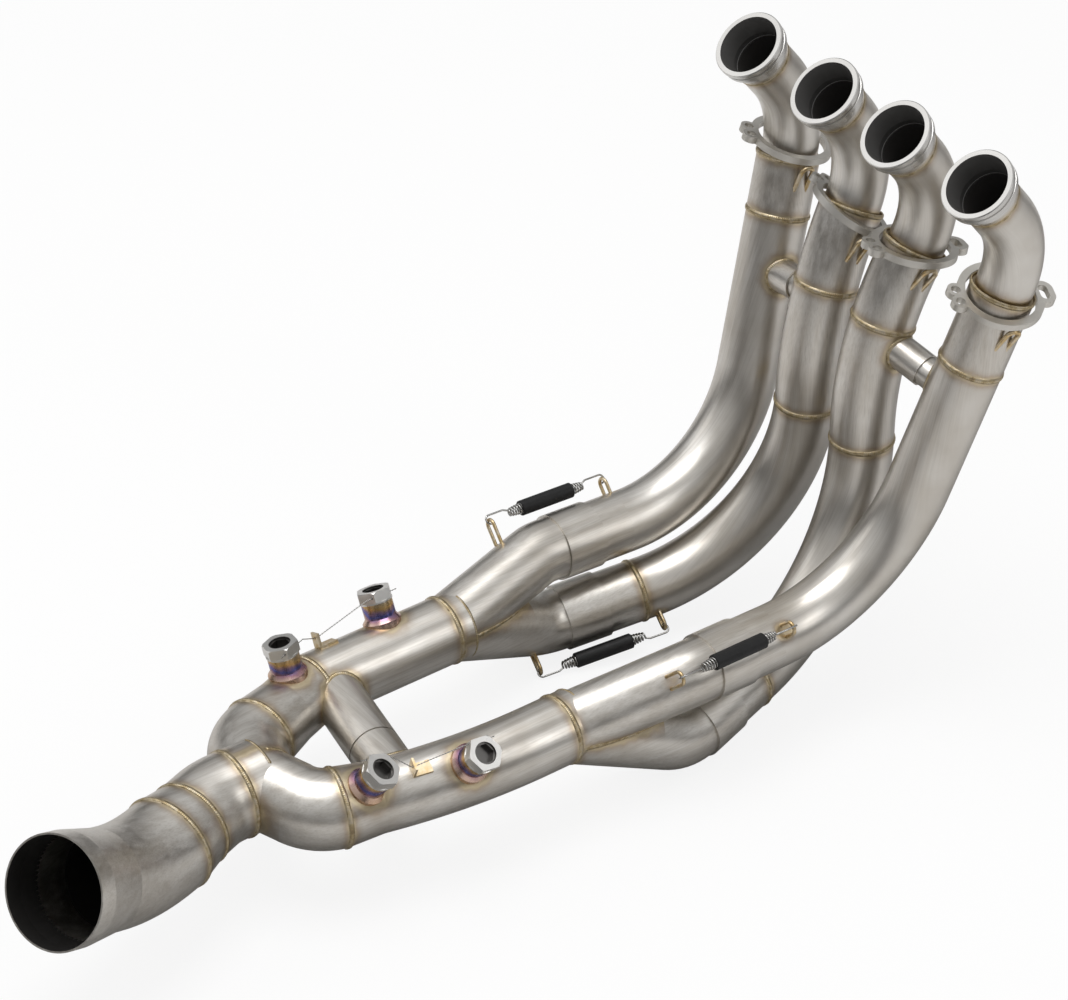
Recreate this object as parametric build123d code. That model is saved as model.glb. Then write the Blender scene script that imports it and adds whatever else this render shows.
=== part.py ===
"""Four-into-two-into-one exhaust header for an inline four, in millimetres.

X runs along the port row from port 1 to port 4, -Y towards the outlet, +Z up.
The origin is the middle of the port row, at the mouths of the port collars.
Every tube follows a route of straight runs and tangent arcs.
"""
from build123d import *
from math import cos, degrees, radians, sin, tan
import os

# Port row
PORT_PITCH_INNER = 72.0
PORT_PITCH_OUTER = 80.0
PORT_TILT = 50.7
ELBOW_CORNER = 76.0
ELBOW_BEND_RADIUS = 65.0

# Tubes
WALL = 1.2
ELBOW_OD = 40.0
PRIMARY_OD = 45.0
SECONDARY_OD = 48.5
MERGE_OD = 54.0
TAIL_OD = 60.0
OUTLET_BEND_OD = 67.0
OUTLET_OD = 74.4

# Port collars
COLLAR_LENGTH = 20.0
COLLAR_MOUTH_D = 43.4
COLLAR_RIM_OD = 51.0
COLLAR_RIM_LENGTH = 4.0
COLLAR_GROOVE_D = 47.4
COLLAR_GROOVE_WIDTH = 1.2
COLLAR_LIP_OD = 50.0
COLLAR_LIP_LENGTH = 4.2
COLLAR_SKIRT_OD = 43.6
COLLAR_TAPER_LENGTH = 15.0
EDGE_BREAK = 0.6

# Loose head flanges
FLANGE_THICKNESS = 5.0
FLANGE_BORE = 49.4
FLANGE_BODY_D = 60.0
FLANGE_STUD_SPACING = 62.0
FLANGE_EAR_RADIUS = 7.5
FLANGE_LOBE_RADIUS = 6.0
FLANGE_LOBE_SPREAD = 11.0
FLANGE_HOLE_D = 6.6
FLANGE_SLOT_LENGTH = 13.0
# How each flange hangs on its neck: its lean, the bearing that it leans to, its rise
# over the neck's top and the bearing of its slotted ear
FLANGE_POSES = {
    1: (15.0, 345.0, 7.8, 60.0),
    2: (18.0, 15.0, -5.0, 11.0),
    3: (17.0, 255.0, -3.0, 73.0),
    4: (17.0, 300.0, -7.0, 68.0),
}

# Primary pipes, as places on the pipes of ports 3 and 4
OUTER_BEND_CORNER = (81.0, -34.5, -332.3)
OUTER_BEND_RADIUS = 117.0
INNER_KNEE = (27.6, -5.7, -163.7)
INNER_KNEE_RADIUS = 290.0
INNER_BEND_CORNER = (33.4, -7.2, -361.6)
INNER_BEND_RADIUS = 138.0
OUTER_SLIP_END = (84.7, -187.0, -326.3)
INNER_SLIP_END = (76.0, -187.0, -383.0)
NECK_START = 110.0
SHOULDER = 2.0
NECK_LENGTH = {1: 42.0, 2: 58.0, 3: 57.0, 4: 58.0}
MIDDLE_LENGTH = 93.0
SLIP_PIECE_OUTER = 54.0
SLIP_PIECE_INNER = 58.0

# Slip joints and merge collectors
SLIP_CLEARANCE = 0.15
SOCKET_OD = 48.0
SOCKET_LENGTH = 30.0
SOCKET_STOP = 1.0
BRANCH_LEAD = 14.5
BRANCH_BEND_RADIUS = 40.0
COLLECTOR_END = (67.0, -295.0, -340.0)
COLLECTOR_NOSE = 12.0

# Secondaries, their crossover and the leads into the final merge
MITRE_Y = -404.0
LEAD_ANGLE = 20.8
LEAD_LENGTH = {"12": 58.0, "34": 32.0}
LEAD_STRAIGHT = {"12": 30.0, "34": 6.0}
BEND_CORNER_Y = -370.0
BEND_ANGLE = 13.4
BEND_RADIUS = 480.0
MERGE_Z = -335.0
MERGE_END_Y = -508.0
MERGE_MEET_Y = -492.0
MERGE_ANGLE = 65.0
MERGE_BEND_RADIUS = 32.0
MERGE_NOSE = 20.0
CROSSOVER_START_Y = -391.0
CROSSOVER_END_Y = -414.0
CROSSOVER_OD = 36.0
CROSSOVER_SLIP_X = 11.0
CROSSOVER_OVERLAP = 18.0

# Small crossovers between the primaries
LINK_OD = 24.0
LINK_Z_OUTER = -176.0
LINK_Z_INNER = -161.0
LINK_SLIP_SHARE = 0.6
LINK_OVERLAP = 8.0

# Tail
TAIL_STRAIGHT = 15.0
TAIL_TURN = 20.4
TAIL_BEND_RADIUS = 48.0
TAIL_LINK_START = 25.0
TAIL_LINK_END = 47.5
OUTLET_RISE = 27.0
OUTLET_CORNER = 79.0
OUTLET_REACH = 88.0
OUTLET_BEND_RADIUS = 130.0
FLARE_LENGTH = 46.0
FLARE_STRAIGHT = 13.8

# Sensor bungs and their plugs
BUNG_OD = 22.0
BUNG_BORE = 18.2
BUNG_HEIGHT = 14.5
BUNG_FOOT_D = 27.0
BUNG_FOOT_HEIGHT = 3.5
BUNG_ROOT = 12.0
# Each side's two bungs: the place on the secondary or on the lead, the tilt outwards
# from upright and the lean back towards the ports
BUNG_POSES = {
    "12": ((43.5, 26.0, 0.0), (17.5, 15.0, 0.0)),
    "34": ((82.0, 40.0, 8.5), (23.0, 27.5, 20.0)),
}
WASHER_OD = 23.0
WASHER_THICKNESS = 1.2
PLUG_SHANK_D = 18.0
PLUG_SHANK_LENGTH = 13.0
PLUG_FLATS = 22.0
PLUG_HEAD = 7.5
PLUG_RECESS_FLATS = 12.0
PLUG_RECESS_DEPTH = 6.5
PLUG_CHAMFER = 0.8
PLUG_CUP_RIM = 1.6
PLUG_WIRE_HOLE_D = 1.6
PLUG_WIRE_INSET = 1.8

# Lock wires and their tabs
WIRE_D = 0.8
WIRE_STRAIGHT = 1.6
TAB_TILT = 25.0
TAB_WIDTH = 9.0
TAB_FOOT = 14.0
TAB_HEIGHT = 11.0
TAB_THICKNESS = 1.6
TAB_HOLE_D = 2.6
TAB_HOLE_HEIGHT = 7.5
TAB_PLACE_12 = 89.0
TAB_PLACE_34 = 111.0

# Springs and their hooks
SPRING_OFFSET = 34.0
SPRING_REACH = 97.0
SPRING_AHEAD_OUTER = 40.0
SPRING_AHEAD_INNER = 30.0
SPRING_COIL_OD = 8.6
SPRING_WIRE_D = 1.4
SPRING_BODY = 64.0
SPRING_PITCH = 3.0
SPRING_END_TURNS = 4
SPRING_FIRST_CREST = 0.62
SPRING_CREST_START = 0.35
SPRING_CREST_END = 0.65
SPRING_VALLEY = 0.45
SPRING_NOSE = 0.45
SPRING_SHANK = 2.0
SPRING_SHANK_INSET = 1.0
SPRING_GAP = 0.15
SPRING_HOOK_RADIUS = 3.2
SLEEVE_OD = 11.0
SLEEVE_LENGTH = 44.0
SLEEVE_GAP = 0.1
HOOK_ROD_D = 2.6
HOOK_SPAN = 9.0
OUTER_SPRING_ANGLE = 45.0
INNER_SPRING_ANGLE = -30.0
STOP_ROD_D = 3.4
STOP_SPAN = 9.0
STOP_RISE = 13.0
STOP_TIP_RADIUS = 27.5
STOP_GAP = 0.6
STOP_BEARING = -10.0
STOP_FOOT = 6.0

# Weld beads
BEAD_HEIGHT = 0.8
BEAD_HALF_WIDTH = 2.2
BEAD_ROOT = 0.5
BEAD_TOE_DEPTH = 0.15
BEAD_SHOULDER = 0.72

# Cutting bodies reach this far past what they cut
MARGIN = 60.0

PORTS = (1, 2, 3, 4)
PORT_X = {
    1: -PORT_PITCH_INNER / 2 - PORT_PITCH_OUTER,
    2: -PORT_PITCH_INNER / 2,
    3: PORT_PITCH_INNER / 2,
    4: PORT_PITCH_INNER / 2 + PORT_PITCH_OUTER,
}
OUTER_PORTS = (1, 4)
SIDES = {"12": -1, "34": 1}


def bore(outer_diameter):
    """The inside diameter of a tube of the common wall."""
    return outer_diameter - 2 * WALL


class Route:
    """Straight runs joined by tangent arcs, measured by length from the start."""

    def __init__(self, points, radii):
        corners = [Vector(*point) for point in points]
        self.parts = []
        here = corners[0]
        for index, radius in enumerate(radii, start=1):
            corner = corners[index]
            inward = (corner - corners[index - 1]).normalized()
            outward = (corners[index + 1] - corner).normalized()
            turn = radians(inward.get_angle(outward))
            setback = radius * tan(turn / 2)
            first = corner - inward * setback
            self.parts.append(("line", here, inward, (first - here).length, None, None))
            axis = inward.cross(outward).normalized()
            centre = first + axis.cross(inward) * radius
            self.parts.append(("arc", first, inward, radius * turn, Axis(centre, axis), radius))
            here = corner + outward * setback
        last = corners[-1] - here
        self.parts.append(("line", here, last.normalized(), last.length, None, None))
        self.length = sum(part[3] for part in self.parts)

    def plane(self, place):
        """The plane square to the route at a length along it."""
        for index, (kind, start, heading, length, axis, radius) in enumerate(self.parts):
            if place <= length or index == len(self.parts) - 1:
                break
            place -= length
        if kind == "line":
            return Plane(origin=start + heading * place, z_dir=heading)
        turned = degrees(place / radius)
        spoke = start - axis.position
        spin = Axis((0, 0, 0), axis.direction)
        origin = axis.position + spoke.rotate(spin, turned)
        return Plane(origin=origin, z_dir=heading.rotate(spin, turned))

    def sweep(self, profile, begin=0.0, end=None):
        """A profile carried along the route from one length to another."""
        end = self.length if end is None else end
        solids = []
        passed = 0.0
        for kind, start, heading, length, axis, radius in self.parts:
            low = max(begin - passed, 0.0)
            high = min(end - passed, length)
            if high - low > 1e-6:
                plane = self.plane(passed + low)
                face = plane * profile
                if kind == "line":
                    solids.append(extrude(face, amount=high - low, dir=heading))
                else:
                    solids.append(revolve(face, axis, degrees((high - low) / radius)))
            passed += length
        body = solids[0]
        for solid in solids[1:]:
            body += solid
        return body

    def rod(self, diameter, begin=0.0, end=None):
        return self.sweep(Circle(diameter / 2), begin, end)

    def tube(self, outer_diameter, begin=0.0, end=None, inner_diameter=None):
        inner = bore(outer_diameter) if inner_diameter is None else inner_diameter
        return self.sweep(Circle(outer_diameter / 2) - Circle(inner / 2), begin, end)


def turned(points, plane):
    """A body of revolution from (radius, height) points, stood on a plane."""
    outline = Polyline(*[(radius, 0, height) for radius, height in points], close=True)
    return plane.location * revolve(make_face(outline), Axis.Z)


def half_bead(plane, outer_diameter):
    """Half of a weld bead, on the side that the plane looks to."""
    surface = outer_diameter / 2
    root = (0, surface - BEAD_ROOT, 0)
    crown = (0, surface + BEAD_HEIGHT, 0)
    shoulder = (0, surface + BEAD_HEIGHT * BEAD_SHOULDER, BEAD_HALF_WIDTH / 2)
    toe = (0, surface - BEAD_TOE_DEPTH, BEAD_HALF_WIDTH)
    inside = (0, surface - BEAD_ROOT, BEAD_HALF_WIDTH)
    edges = [
        Line(root, crown),
        ThreePointArc(crown, shoulder, toe),
        Line(toe, inside),
        Line(inside, root),
    ]
    return plane.location * revolve(make_face(edges), Axis.Z)


def looking_back(plane):
    return Plane(origin=plane.origin, x_dir=plane.x_dir, z_dir=-plane.z_dir)


def bead_after(route, place, outer_diameter):
    """The half bead of the piece that starts at a place."""
    return half_bead(route.plane(place), outer_diameter)


def bead_before(route, place, outer_diameter):
    """The half bead of the piece that ends at a place."""
    return half_bead(looking_back(route.plane(place)), outer_diameter)


def mirrored(point, side):
    return (point[0] * side, point[1], point[2])


def level(bearing):
    """A level direction, by its bearing from +X."""
    return Vector(cos(radians(bearing)), sin(radians(bearing)), 0)


def square_to(direction, axis):
    """A direction made square to an axis."""
    return (direction - axis * direction.dot(axis)).normalized()


# Primary routes, from the mouth of the port to the end of the slip joint
INTO_HEAD = Vector(0, -cos(radians(PORT_TILT)), sin(radians(PORT_TILT)))


def primary_route(port):
    side = 1 if PORT_X[port] > 0 else -1
    mouth = Vector(PORT_X[port], 0, 0)
    corner = mouth - INTO_HEAD * ELBOW_CORNER
    if port in OUTER_PORTS:
        bends = [OUTER_BEND_CORNER, OUTER_SLIP_END]
        radii = [ELBOW_BEND_RADIUS, OUTER_BEND_RADIUS]
    else:
        bends = [INNER_KNEE, INNER_BEND_CORNER, INNER_SLIP_END]
        radii = [ELBOW_BEND_RADIUS, INNER_KNEE_RADIUS, INNER_BEND_RADIUS]
    points = [tuple(mouth), tuple(corner)] + [mirrored(point, side) for point in bends]
    return Route(points, radii)


PRIMARY = {port: primary_route(port) for port in PORTS}

def branch_route(port):
    """From the mouth of a slip socket, round the kink, to the collector's end."""
    side = 1 if PORT_X[port] > 0 else -1
    run = PRIMARY[port].plane(PRIMARY[port].length)
    heading = run.z_dir
    mouth = run.origin - heading * SOCKET_LENGTH
    kink = run.origin + heading * BRANCH_LEAD
    return Route([tuple(mouth), tuple(kink), mirrored(COLLECTOR_END, side)], [BRANCH_BEND_RADIUS])


BRANCH = {port: branch_route(port) for port in PORTS}


def ports_of(side_name):
    return (1, 2) if side_name == "12" else (4, 3)


def mitred_lead():
    """The lead of ports 1 and 2, from the middle of its mitre."""
    x, _, z = mirrored(COLLECTOR_END, SIDES["12"])
    angle = radians(LEAD_ANGLE)
    length = LEAD_LENGTH["12"]
    return Route([(x, MITRE_Y, z), (x + length * sin(angle), MITRE_Y - length * cos(angle), z)], [])


LEAD = {"12": mitred_lead()}


def bent_secondary():
    """The gentle bend of ports 3 and 4, to the same end as the lead opposite."""
    x, _, z = COLLECTOR_END
    lead = LEAD["12"]
    end_y = lead.plane(lead.length).origin.Y
    end_x = x - (BEND_CORNER_Y - end_y) * tan(radians(BEND_ANGLE))
    return Route([COLLECTOR_END, (x, BEND_CORNER_Y, z), (end_x, end_y, z)], [BEND_RADIUS])


SECONDARY = {
    "12": Route([mirrored(COLLECTOR_END, SIDES["12"]), tuple(LEAD["12"].plane(0).origin)], []),
    "34": bent_secondary(),
}
SECONDARY_END = {"12": SECONDARY["12"].length, "34": SECONDARY["34"].length - LEAD_LENGTH["34"]}
LEAD["34"] = Route(
    [
        tuple(SECONDARY["34"].plane(SECONDARY_END["34"]).origin),
        tuple(SECONDARY["34"].plane(SECONDARY["34"].length).origin),
    ],
    [],
)


def merge_route(lead):
    """From the end of a lead, round a bend, to where the two sides meet."""
    start = lead.plane(lead.length)
    inward = start.z_dir
    slope = tan(radians(MERGE_ANGLE))
    x, y = abs(start.origin.X), start.origin.Y
    along = (slope * (y - MERGE_MEET_Y) - x) / (slope * abs(inward.Y) - abs(inward.X))
    corner = start.origin + inward * along
    points = [tuple(start.origin), tuple(corner), (0, MERGE_MEET_Y, MERGE_Z)]
    return Route(points, [MERGE_BEND_RADIUS])


MERGE = {name: merge_route(LEAD[name]) for name in SIDES}


def tail_route():
    start = Vector(0, MERGE_END_Y, MERGE_Z)
    corner = start - Vector(0, TAIL_STRAIGHT, 0)
    sideways = Vector(sin(radians(TAIL_TURN)), -cos(radians(TAIL_TURN)), 0)
    knee = corner + sideways * OUTLET_CORNER
    rising = sideways * cos(radians(OUTLET_RISE)) + Vector(0, 0, sin(radians(OUTLET_RISE)))
    mouth = knee + rising * OUTLET_REACH
    points = [tuple(start), tuple(corner), tuple(knee), tuple(mouth)]
    return Route(points, [TAIL_BEND_RADIUS, OUTLET_BEND_RADIUS])


TAIL = tail_route()


# Port collars, elbows and loose flanges
def port_collar(port):
    """A turned collar: rim, groove, lip and skirt outside, a taper inside."""
    rim = COLLAR_RIM_OD / 2
    groove = COLLAR_GROOVE_D / 2
    lip = COLLAR_LIP_OD / 2
    skirt = COLLAR_SKIRT_OD / 2
    mouth = COLLAR_MOUTH_D / 2
    throat = bore(ELBOW_OD) / 2
    groove_start = COLLAR_RIM_LENGTH
    lip_start = groove_start + COLLAR_GROOVE_WIDTH
    lip_end = lip_start + COLLAR_LIP_LENGTH
    outline = [
        (mouth, 0),
        (rim - EDGE_BREAK, 0),
        (rim, EDGE_BREAK),
        (rim, groove_start - EDGE_BREAK),
        (groove, groove_start),
        (groove, lip_start),
        (lip, lip_start + EDGE_BREAK),
        (lip, lip_end - EDGE_BREAK),
        (skirt, lip_end + 2 * EDGE_BREAK),
        (skirt, COLLAR_TAPER_LENGTH),
        (ELBOW_OD / 2 + EDGE_BREAK, COLLAR_LENGTH),
        (throat, COLLAR_LENGTH),
        (throat, COLLAR_TAPER_LENGTH),
    ]
    route = PRIMARY[port]
    return turned(outline, route.plane(0))


def port_elbow(port):
    route = PRIMARY[port]
    elbow = route.tube(ELBOW_OD, COLLAR_LENGTH, NECK_START + SHOULDER)
    return elbow + bead_after(route, COLLAR_LENGTH, ELBOW_OD)


def flange_outline():
    """A round body with a slotted ear on one side and a two-lobed ear opposite."""
    half = FLANGE_STUD_SPACING / 2
    slot_length = FLANGE_SLOT_LENGTH + FLANGE_EAR_RADIUS
    outline = Circle(FLANGE_BODY_D / 2)
    outline += Pos(half, 0) * SlotOverall(slot_length, 2 * FLANGE_EAR_RADIUS, 90)
    outline += Rectangle(half, 2 * FLANGE_EAR_RADIUS, align=(Align.MIN, Align.CENTER))
    outline += Rectangle(half, FLANGE_LOBE_SPREAD, align=(Align.MAX, Align.CENTER))
    for sign in (1, -1):
        outline += Pos(-half, sign * FLANGE_LOBE_SPREAD / 2) * Circle(FLANGE_LOBE_RADIUS)
    outline -= Pos(half, 0) * SlotOverall(FLANGE_SLOT_LENGTH, FLANGE_HOLE_D, 90)
    for sign in (1, -1):
        outline -= Pos(-half, sign * FLANGE_LOBE_SPREAD / 2) * Circle(FLANGE_HOLE_D / 2)
    return outline - Circle(FLANGE_BORE / 2)


def flange_pose(port):
    """The middle plane of a loose flange as it hangs, its x to the slotted ear."""
    lean, lean_bearing, rise, ear_bearing = FLANGE_POSES[port]
    neck = PRIMARY[port].plane(NECK_START)
    up = -neck.z_dir
    side = square_to(level(lean_bearing), up)
    normal = up * cos(radians(lean)) + side * sin(radians(lean))
    centre = neck.origin + up * (rise + FLANGE_THICKNESS / 2)
    return Plane(origin=centre, x_dir=square_to(level(ear_bearing), normal), z_dir=normal)


def stop_place(port):
    """The foot and the tip of a stop's centre line, the tip just under the hanging flange."""
    pose = flange_pose(port)
    neck = PRIMARY[port].plane(NECK_START)
    up = -neck.z_dir
    outward = square_to(level(STOP_BEARING), up)
    drop = FLANGE_THICKNESS / 2 + STOP_ROD_D / 2 + STOP_GAP
    out = neck.origin + outward * STOP_TIP_RADIUS
    height = ((pose.origin - out).dot(pose.z_dir) - drop) / up.dot(pose.z_dir)
    tip = out + up * height
    foot = neck.origin + outward * (PRIMARY_OD / 2) + up * (height - STOP_RISE)
    return foot, tip, outward.cross(up)


def head_flange(port):
    plate = extrude(flange_outline(), amount=FLANGE_THICKNESS / 2, both=True)
    return flange_pose(port).location * plate


def wire_loop(plane, rod_diameter, span, reach, foot):
    """A bent-rod staple: two legs along the plane's normal, joined by a half circle."""
    half = span / 2
    top = reach - half
    path = Line((0, -half, -foot), (0, -half, top))
    path += ThreePointArc((0, -half, top), (0, 0, reach), (0, half, top))
    path += Line((0, half, top), (0, half, -foot))
    start = Plane(origin=(0, -half, -foot), z_dir=(0, 0, 1))
    return plane.location * sweep(start * Circle(rod_diameter / 2), path=path)


def flange_stop(port):
    """A staple welded to the neck, that keeps the loose flange from sliding down."""
    foot, tip, sideways = stop_place(port)
    leaning = (tip - foot).normalized()
    plane = Plane(origin=foot, x_dir=sideways.cross(leaning), z_dir=leaning)
    staple = wire_loop(plane, STOP_ROD_D, STOP_SPAN, (tip - foot).length, STOP_FOOT)
    return staple - PRIMARY[port].rod(PRIMARY_OD, NECK_START, NECK_START + MARGIN)


# Primary pipes
def neck_end(port):
    return NECK_START + NECK_LENGTH[port]


def bend_start(port):
    return neck_end(port) + (0 if port in OUTER_PORTS else MIDDLE_LENGTH)


def slip_start(port):
    piece = SLIP_PIECE_OUTER if port in OUTER_PORTS else SLIP_PIECE_INNER
    return PRIMARY[port].length - piece


def primary_neck(port):
    """The top of a primary, closed round the elbow by the shoulder that it is welded to."""
    route = PRIMARY[port]
    end = neck_end(port)
    neck = route.tube(PRIMARY_OD, NECK_START, end)
    neck += route.tube(PRIMARY_OD, NECK_START, NECK_START + SHOULDER, ELBOW_OD)
    return neck + bead_after(route, NECK_START, PRIMARY_OD) + bead_before(route, end, PRIMARY_OD)


def primary_middle(port):
    route = PRIMARY[port]
    begin, end = neck_end(port), bend_start(port)
    middle = route.tube(PRIMARY_OD, begin, end)
    return middle + bead_after(route, begin, PRIMARY_OD) + bead_before(route, end, PRIMARY_OD)


def primary_bend(port):
    route = PRIMARY[port]
    begin, end = bend_start(port), slip_start(port)
    bend = route.tube(PRIMARY_OD, begin, end) + bead_after(route, begin, PRIMARY_OD)
    return bend if port in OUTER_PORTS else bend + bead_before(route, end, PRIMARY_OD)


def primary_slip_end(port):
    """The straight end that slides into the collector's socket, short of its stop."""
    route = PRIMARY[port]
    begin = slip_start(port)
    piece = route.tube(PRIMARY_OD, begin, route.length - SOCKET_STOP)
    return piece if port in OUTER_PORTS else piece + bead_after(route, begin, PRIMARY_OD)


# Small crossovers between neighbouring primaries
def place_at_height(route, height):
    """The length along a route where it comes down to a height."""
    low, high = NECK_START, route.length / 2
    for _ in range(40):
        middle = (low + high) / 2
        if route.plane(middle).origin.Z > height:
            low = middle
        else:
            high = middle
    return low


def link_height(port):
    return LINK_Z_OUTER if port in OUTER_PORTS else LINK_Z_INNER


def link_route(side_name):
    """From the lower numbered pipe of a pair to the other."""
    ends = []
    for port in sorted(ports_of(side_name)):
        route = PRIMARY[port]
        ends.append(tuple(route.plane(place_at_height(route, link_height(port))).origin))
    return Route(ends, [])


LINK = {name: link_route(name) for name in SIDES}


def link_socket(side_name):
    """The half that is welded to one primary and takes the other half inside it."""
    route = LINK[side_name]
    socket = route.tube(LINK_OD, 0, route.length * LINK_SLIP_SHARE)
    return link_cut(socket, min(ports_of(side_name)))


def link_spigot(side_name):
    route = LINK[side_name]
    slip = route.length * LINK_SLIP_SHARE
    spigot = route.tube(bore(LINK_OD) - 2 * SLIP_CLEARANCE, slip - LINK_OVERLAP, route.length)
    return link_cut(spigot, max(ports_of(side_name)))


def link_window(side_name):
    """What the crossover's bore takes out of the two primaries."""
    return LINK[side_name].rod(bore(LINK_OD) - 2 * SLIP_CLEARANCE - 2 * WALL)


def link_cut(half, port):
    return half - PRIMARY[port].rod(PRIMARY_OD, NECK_START, PRIMARY[port].length / 2)


# Merge collectors
def behind(y):
    """Everything past a plane square to Y."""
    return Pos(0, y, 0) * Box(
        8 * MARGIN, 2 * MARGIN, 20 * MARGIN, align=(Align.CENTER, Align.MAX, Align.CENTER)
    )


def collector(side_name):
    """Two sockets and branches that flow into one round end."""
    side = SIDES[side_name]
    ends = ports_of(side_name)
    x, y, z = mirrored(COLLECTOR_END, side)
    nose = Route([(x, y + COLLECTOR_NOSE, z), (x, y, z)], [])
    shell = nose.rod(SECONDARY_OD)
    core = nose.rod(bore(SECONDARY_OD))
    for port in ends:
        route = BRANCH[port]
        shell += route.rod(PRIMARY_OD)
        shell += route.rod(SOCKET_OD, 0, SOCKET_LENGTH + WALL)
        core += route.rod(bore(PRIMARY_OD))
        core += route.rod(PRIMARY_OD + 2 * SLIP_CLEARANCE, 0, SOCKET_LENGTH)
    body = shell - core - behind(y)
    end = nose.plane(nose.length)
    return body + half_bead(looking_back(end), SECONDARY_OD)


# Secondaries
def mitre_plane():
    """The plane that halves the turn between the secondary and the lead of ports 1 and 2."""
    half = radians(LEAD_ANGLE / 2)
    return Plane(origin=LEAD["12"].plane(0).origin, z_dir=(sin(half), -cos(half), 0))


def secondary_shape(side_name, diameter):
    """A rod along a secondary, to its mitre or to where its taper starts."""
    route = SECONDARY[side_name]
    if side_name == "34":
        return route.rod(diameter, 0, SECONDARY_END[side_name])
    start = route.plane(0)
    length = route.length + diameter
    rod = start.location * Cylinder(diameter / 2, length, align=(Align.CENTER, Align.CENTER, Align.MIN))
    return split(rod, bisect_by=mitre_plane(), keep=Keep.BOTTOM)


def lead_shape(side_name, diameter, end_diameter):
    """A rod along a lead, that opens out to the final merge."""
    straight, length = LEAD_STRAIGHT[side_name], LEAD_LENGTH[side_name]
    mitred = side_name == "12"
    begin = -diameter if mitred else 0
    radius, end_radius = diameter / 2, end_diameter / 2
    outline = [(0, begin), (radius, begin), (radius, straight), (end_radius, length), (0, length)]
    rod = turned(outline, LEAD[side_name].plane(0))
    return split(rod, bisect_by=mitre_plane(), keep=Keep.TOP) if mitred else rod


def side_envelope(side_name):
    """The outside of a secondary and its lead together, filled in."""
    return secondary_shape(side_name, SECONDARY_OD) + lead_shape(side_name, SECONDARY_OD, MERGE_OD)


def tilted(plane, side, tilt, lean=0.0):
    """A plane on a tube's axis that looks outwards at a tilt, its x along the tube."""
    rough = Vector(side * sin(radians(tilt)), 0, cos(radians(tilt)))
    square = square_to(rough, plane.z_dir)
    outward = square * cos(radians(lean)) - plane.z_dir * sin(radians(lean))
    return Plane(origin=plane.origin, x_dir=square_to(plane.z_dir * side, outward), z_dir=outward)


def bung_planes(side_name):
    """The two bung axes of one side, from the middle of the tube outwards."""
    routes = (SECONDARY[side_name], LEAD[side_name])
    return [
        tilted(route.plane(place), SIDES[side_name], tilt, lean)
        for route, (place, tilt, lean) in zip(routes, BUNG_POSES[side_name])
    ]


def crossover_route():
    """From the middle of one secondary to the middle of the other."""
    x, _, z = COLLECTOR_END
    bend = SECONDARY["34"]
    low, high = 0, bend.length
    for _ in range(40):
        middle = (low + high) / 2
        if bend.plane(middle).origin.Y > CROSSOVER_END_Y:
            low = middle
        else:
            high = middle
    return Route([(-x, CROSSOVER_START_Y, z), tuple(bend.plane(low).origin)], [])


CROSSOVER = crossover_route()
CROSSOVER_SLIP = (CROSSOVER_SLIP_X + COLLECTOR_END[0]) / CROSSOVER.plane(0).z_dir.X


def crossover_bore():
    return bore(bore(CROSSOVER_OD) - 2 * SLIP_CLEARANCE)


def side_windows(side_name):
    """What the two bungs and the crossover take out of a side's tubes."""
    windows = [
        plane.location * Cylinder(BUNG_BORE / 2, SECONDARY_OD, align=(Align.CENTER, Align.CENTER, Align.MIN))
        for plane in bung_planes(side_name)
    ]
    return windows + [CROSSOVER.rod(crossover_bore())]


def secondary(side_name):
    tube = secondary_shape(side_name, SECONDARY_OD) - secondary_shape(side_name, bore(SECONDARY_OD))
    tube += bead_after(SECONDARY[side_name], 0, SECONDARY_OD)
    for window in side_windows(side_name):
        tube -= window
    return tube


def lead_pipe(side_name):
    """Joined to the secondary, then opening out to the final merge."""
    pipe = lead_shape(side_name, SECONDARY_OD, MERGE_OD)
    pipe -= lead_shape(side_name, bore(SECONDARY_OD), bore(MERGE_OD))
    for window in side_windows(side_name):
        pipe -= window
    return pipe


def crossover_socket():
    """Welded to the tubes of ports 1 and 2, plain inside."""
    return CROSSOVER.tube(CROSSOVER_OD, 0, CROSSOVER_SLIP) - side_envelope("12")


def crossover_spigot():
    """Welded to the tubes of ports 3 and 4, with an end that slides into the socket."""
    inner = bore(CROSSOVER_OD) - 2 * SLIP_CLEARANCE
    tube = CROSSOVER.tube(CROSSOVER_OD, CROSSOVER_SLIP + WALL, CROSSOVER.length, bore(inner))
    tube += CROSSOVER.tube(inner, CROSSOVER_SLIP - CROSSOVER_OVERLAP, CROSSOVER_SLIP + WALL)
    return tube - side_envelope("34")


def final_merge():
    nose = Route([(0, MERGE_END_Y + MERGE_NOSE, MERGE_Z), (0, MERGE_END_Y, MERGE_Z)], [])
    shell = nose.rod(TAIL_OD)
    core = nose.rod(bore(TAIL_OD))
    for route in MERGE.values():
        shell += route.rod(MERGE_OD)
        core += route.rod(bore(MERGE_OD))
    body = shell - core - behind(MERGE_END_Y)
    for route in MERGE.values():
        body += bead_after(route, 0, MERGE_OD)
    return body + half_bead(looking_back(nose.plane(nose.length)), TAIL_OD)


# Tail
def tail_marks():
    first_bend = TAIL.parts[1]
    setback = TAIL_BEND_RADIUS * tan(radians(TAIL_TURN) / 2)
    after = TAIL_STRAIGHT - setback + first_bend[3]
    link_start = after + TAIL_LINK_START - setback
    link_end = after + TAIL_LINK_END - setback
    return link_start, link_end


def tail_bend():
    link_start, _ = tail_marks()
    pipe = TAIL.tube(TAIL_OD, 0, link_start)
    return pipe + bead_after(TAIL, 0, TAIL_OD) + bead_before(TAIL, link_start, TAIL_OD)


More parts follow.
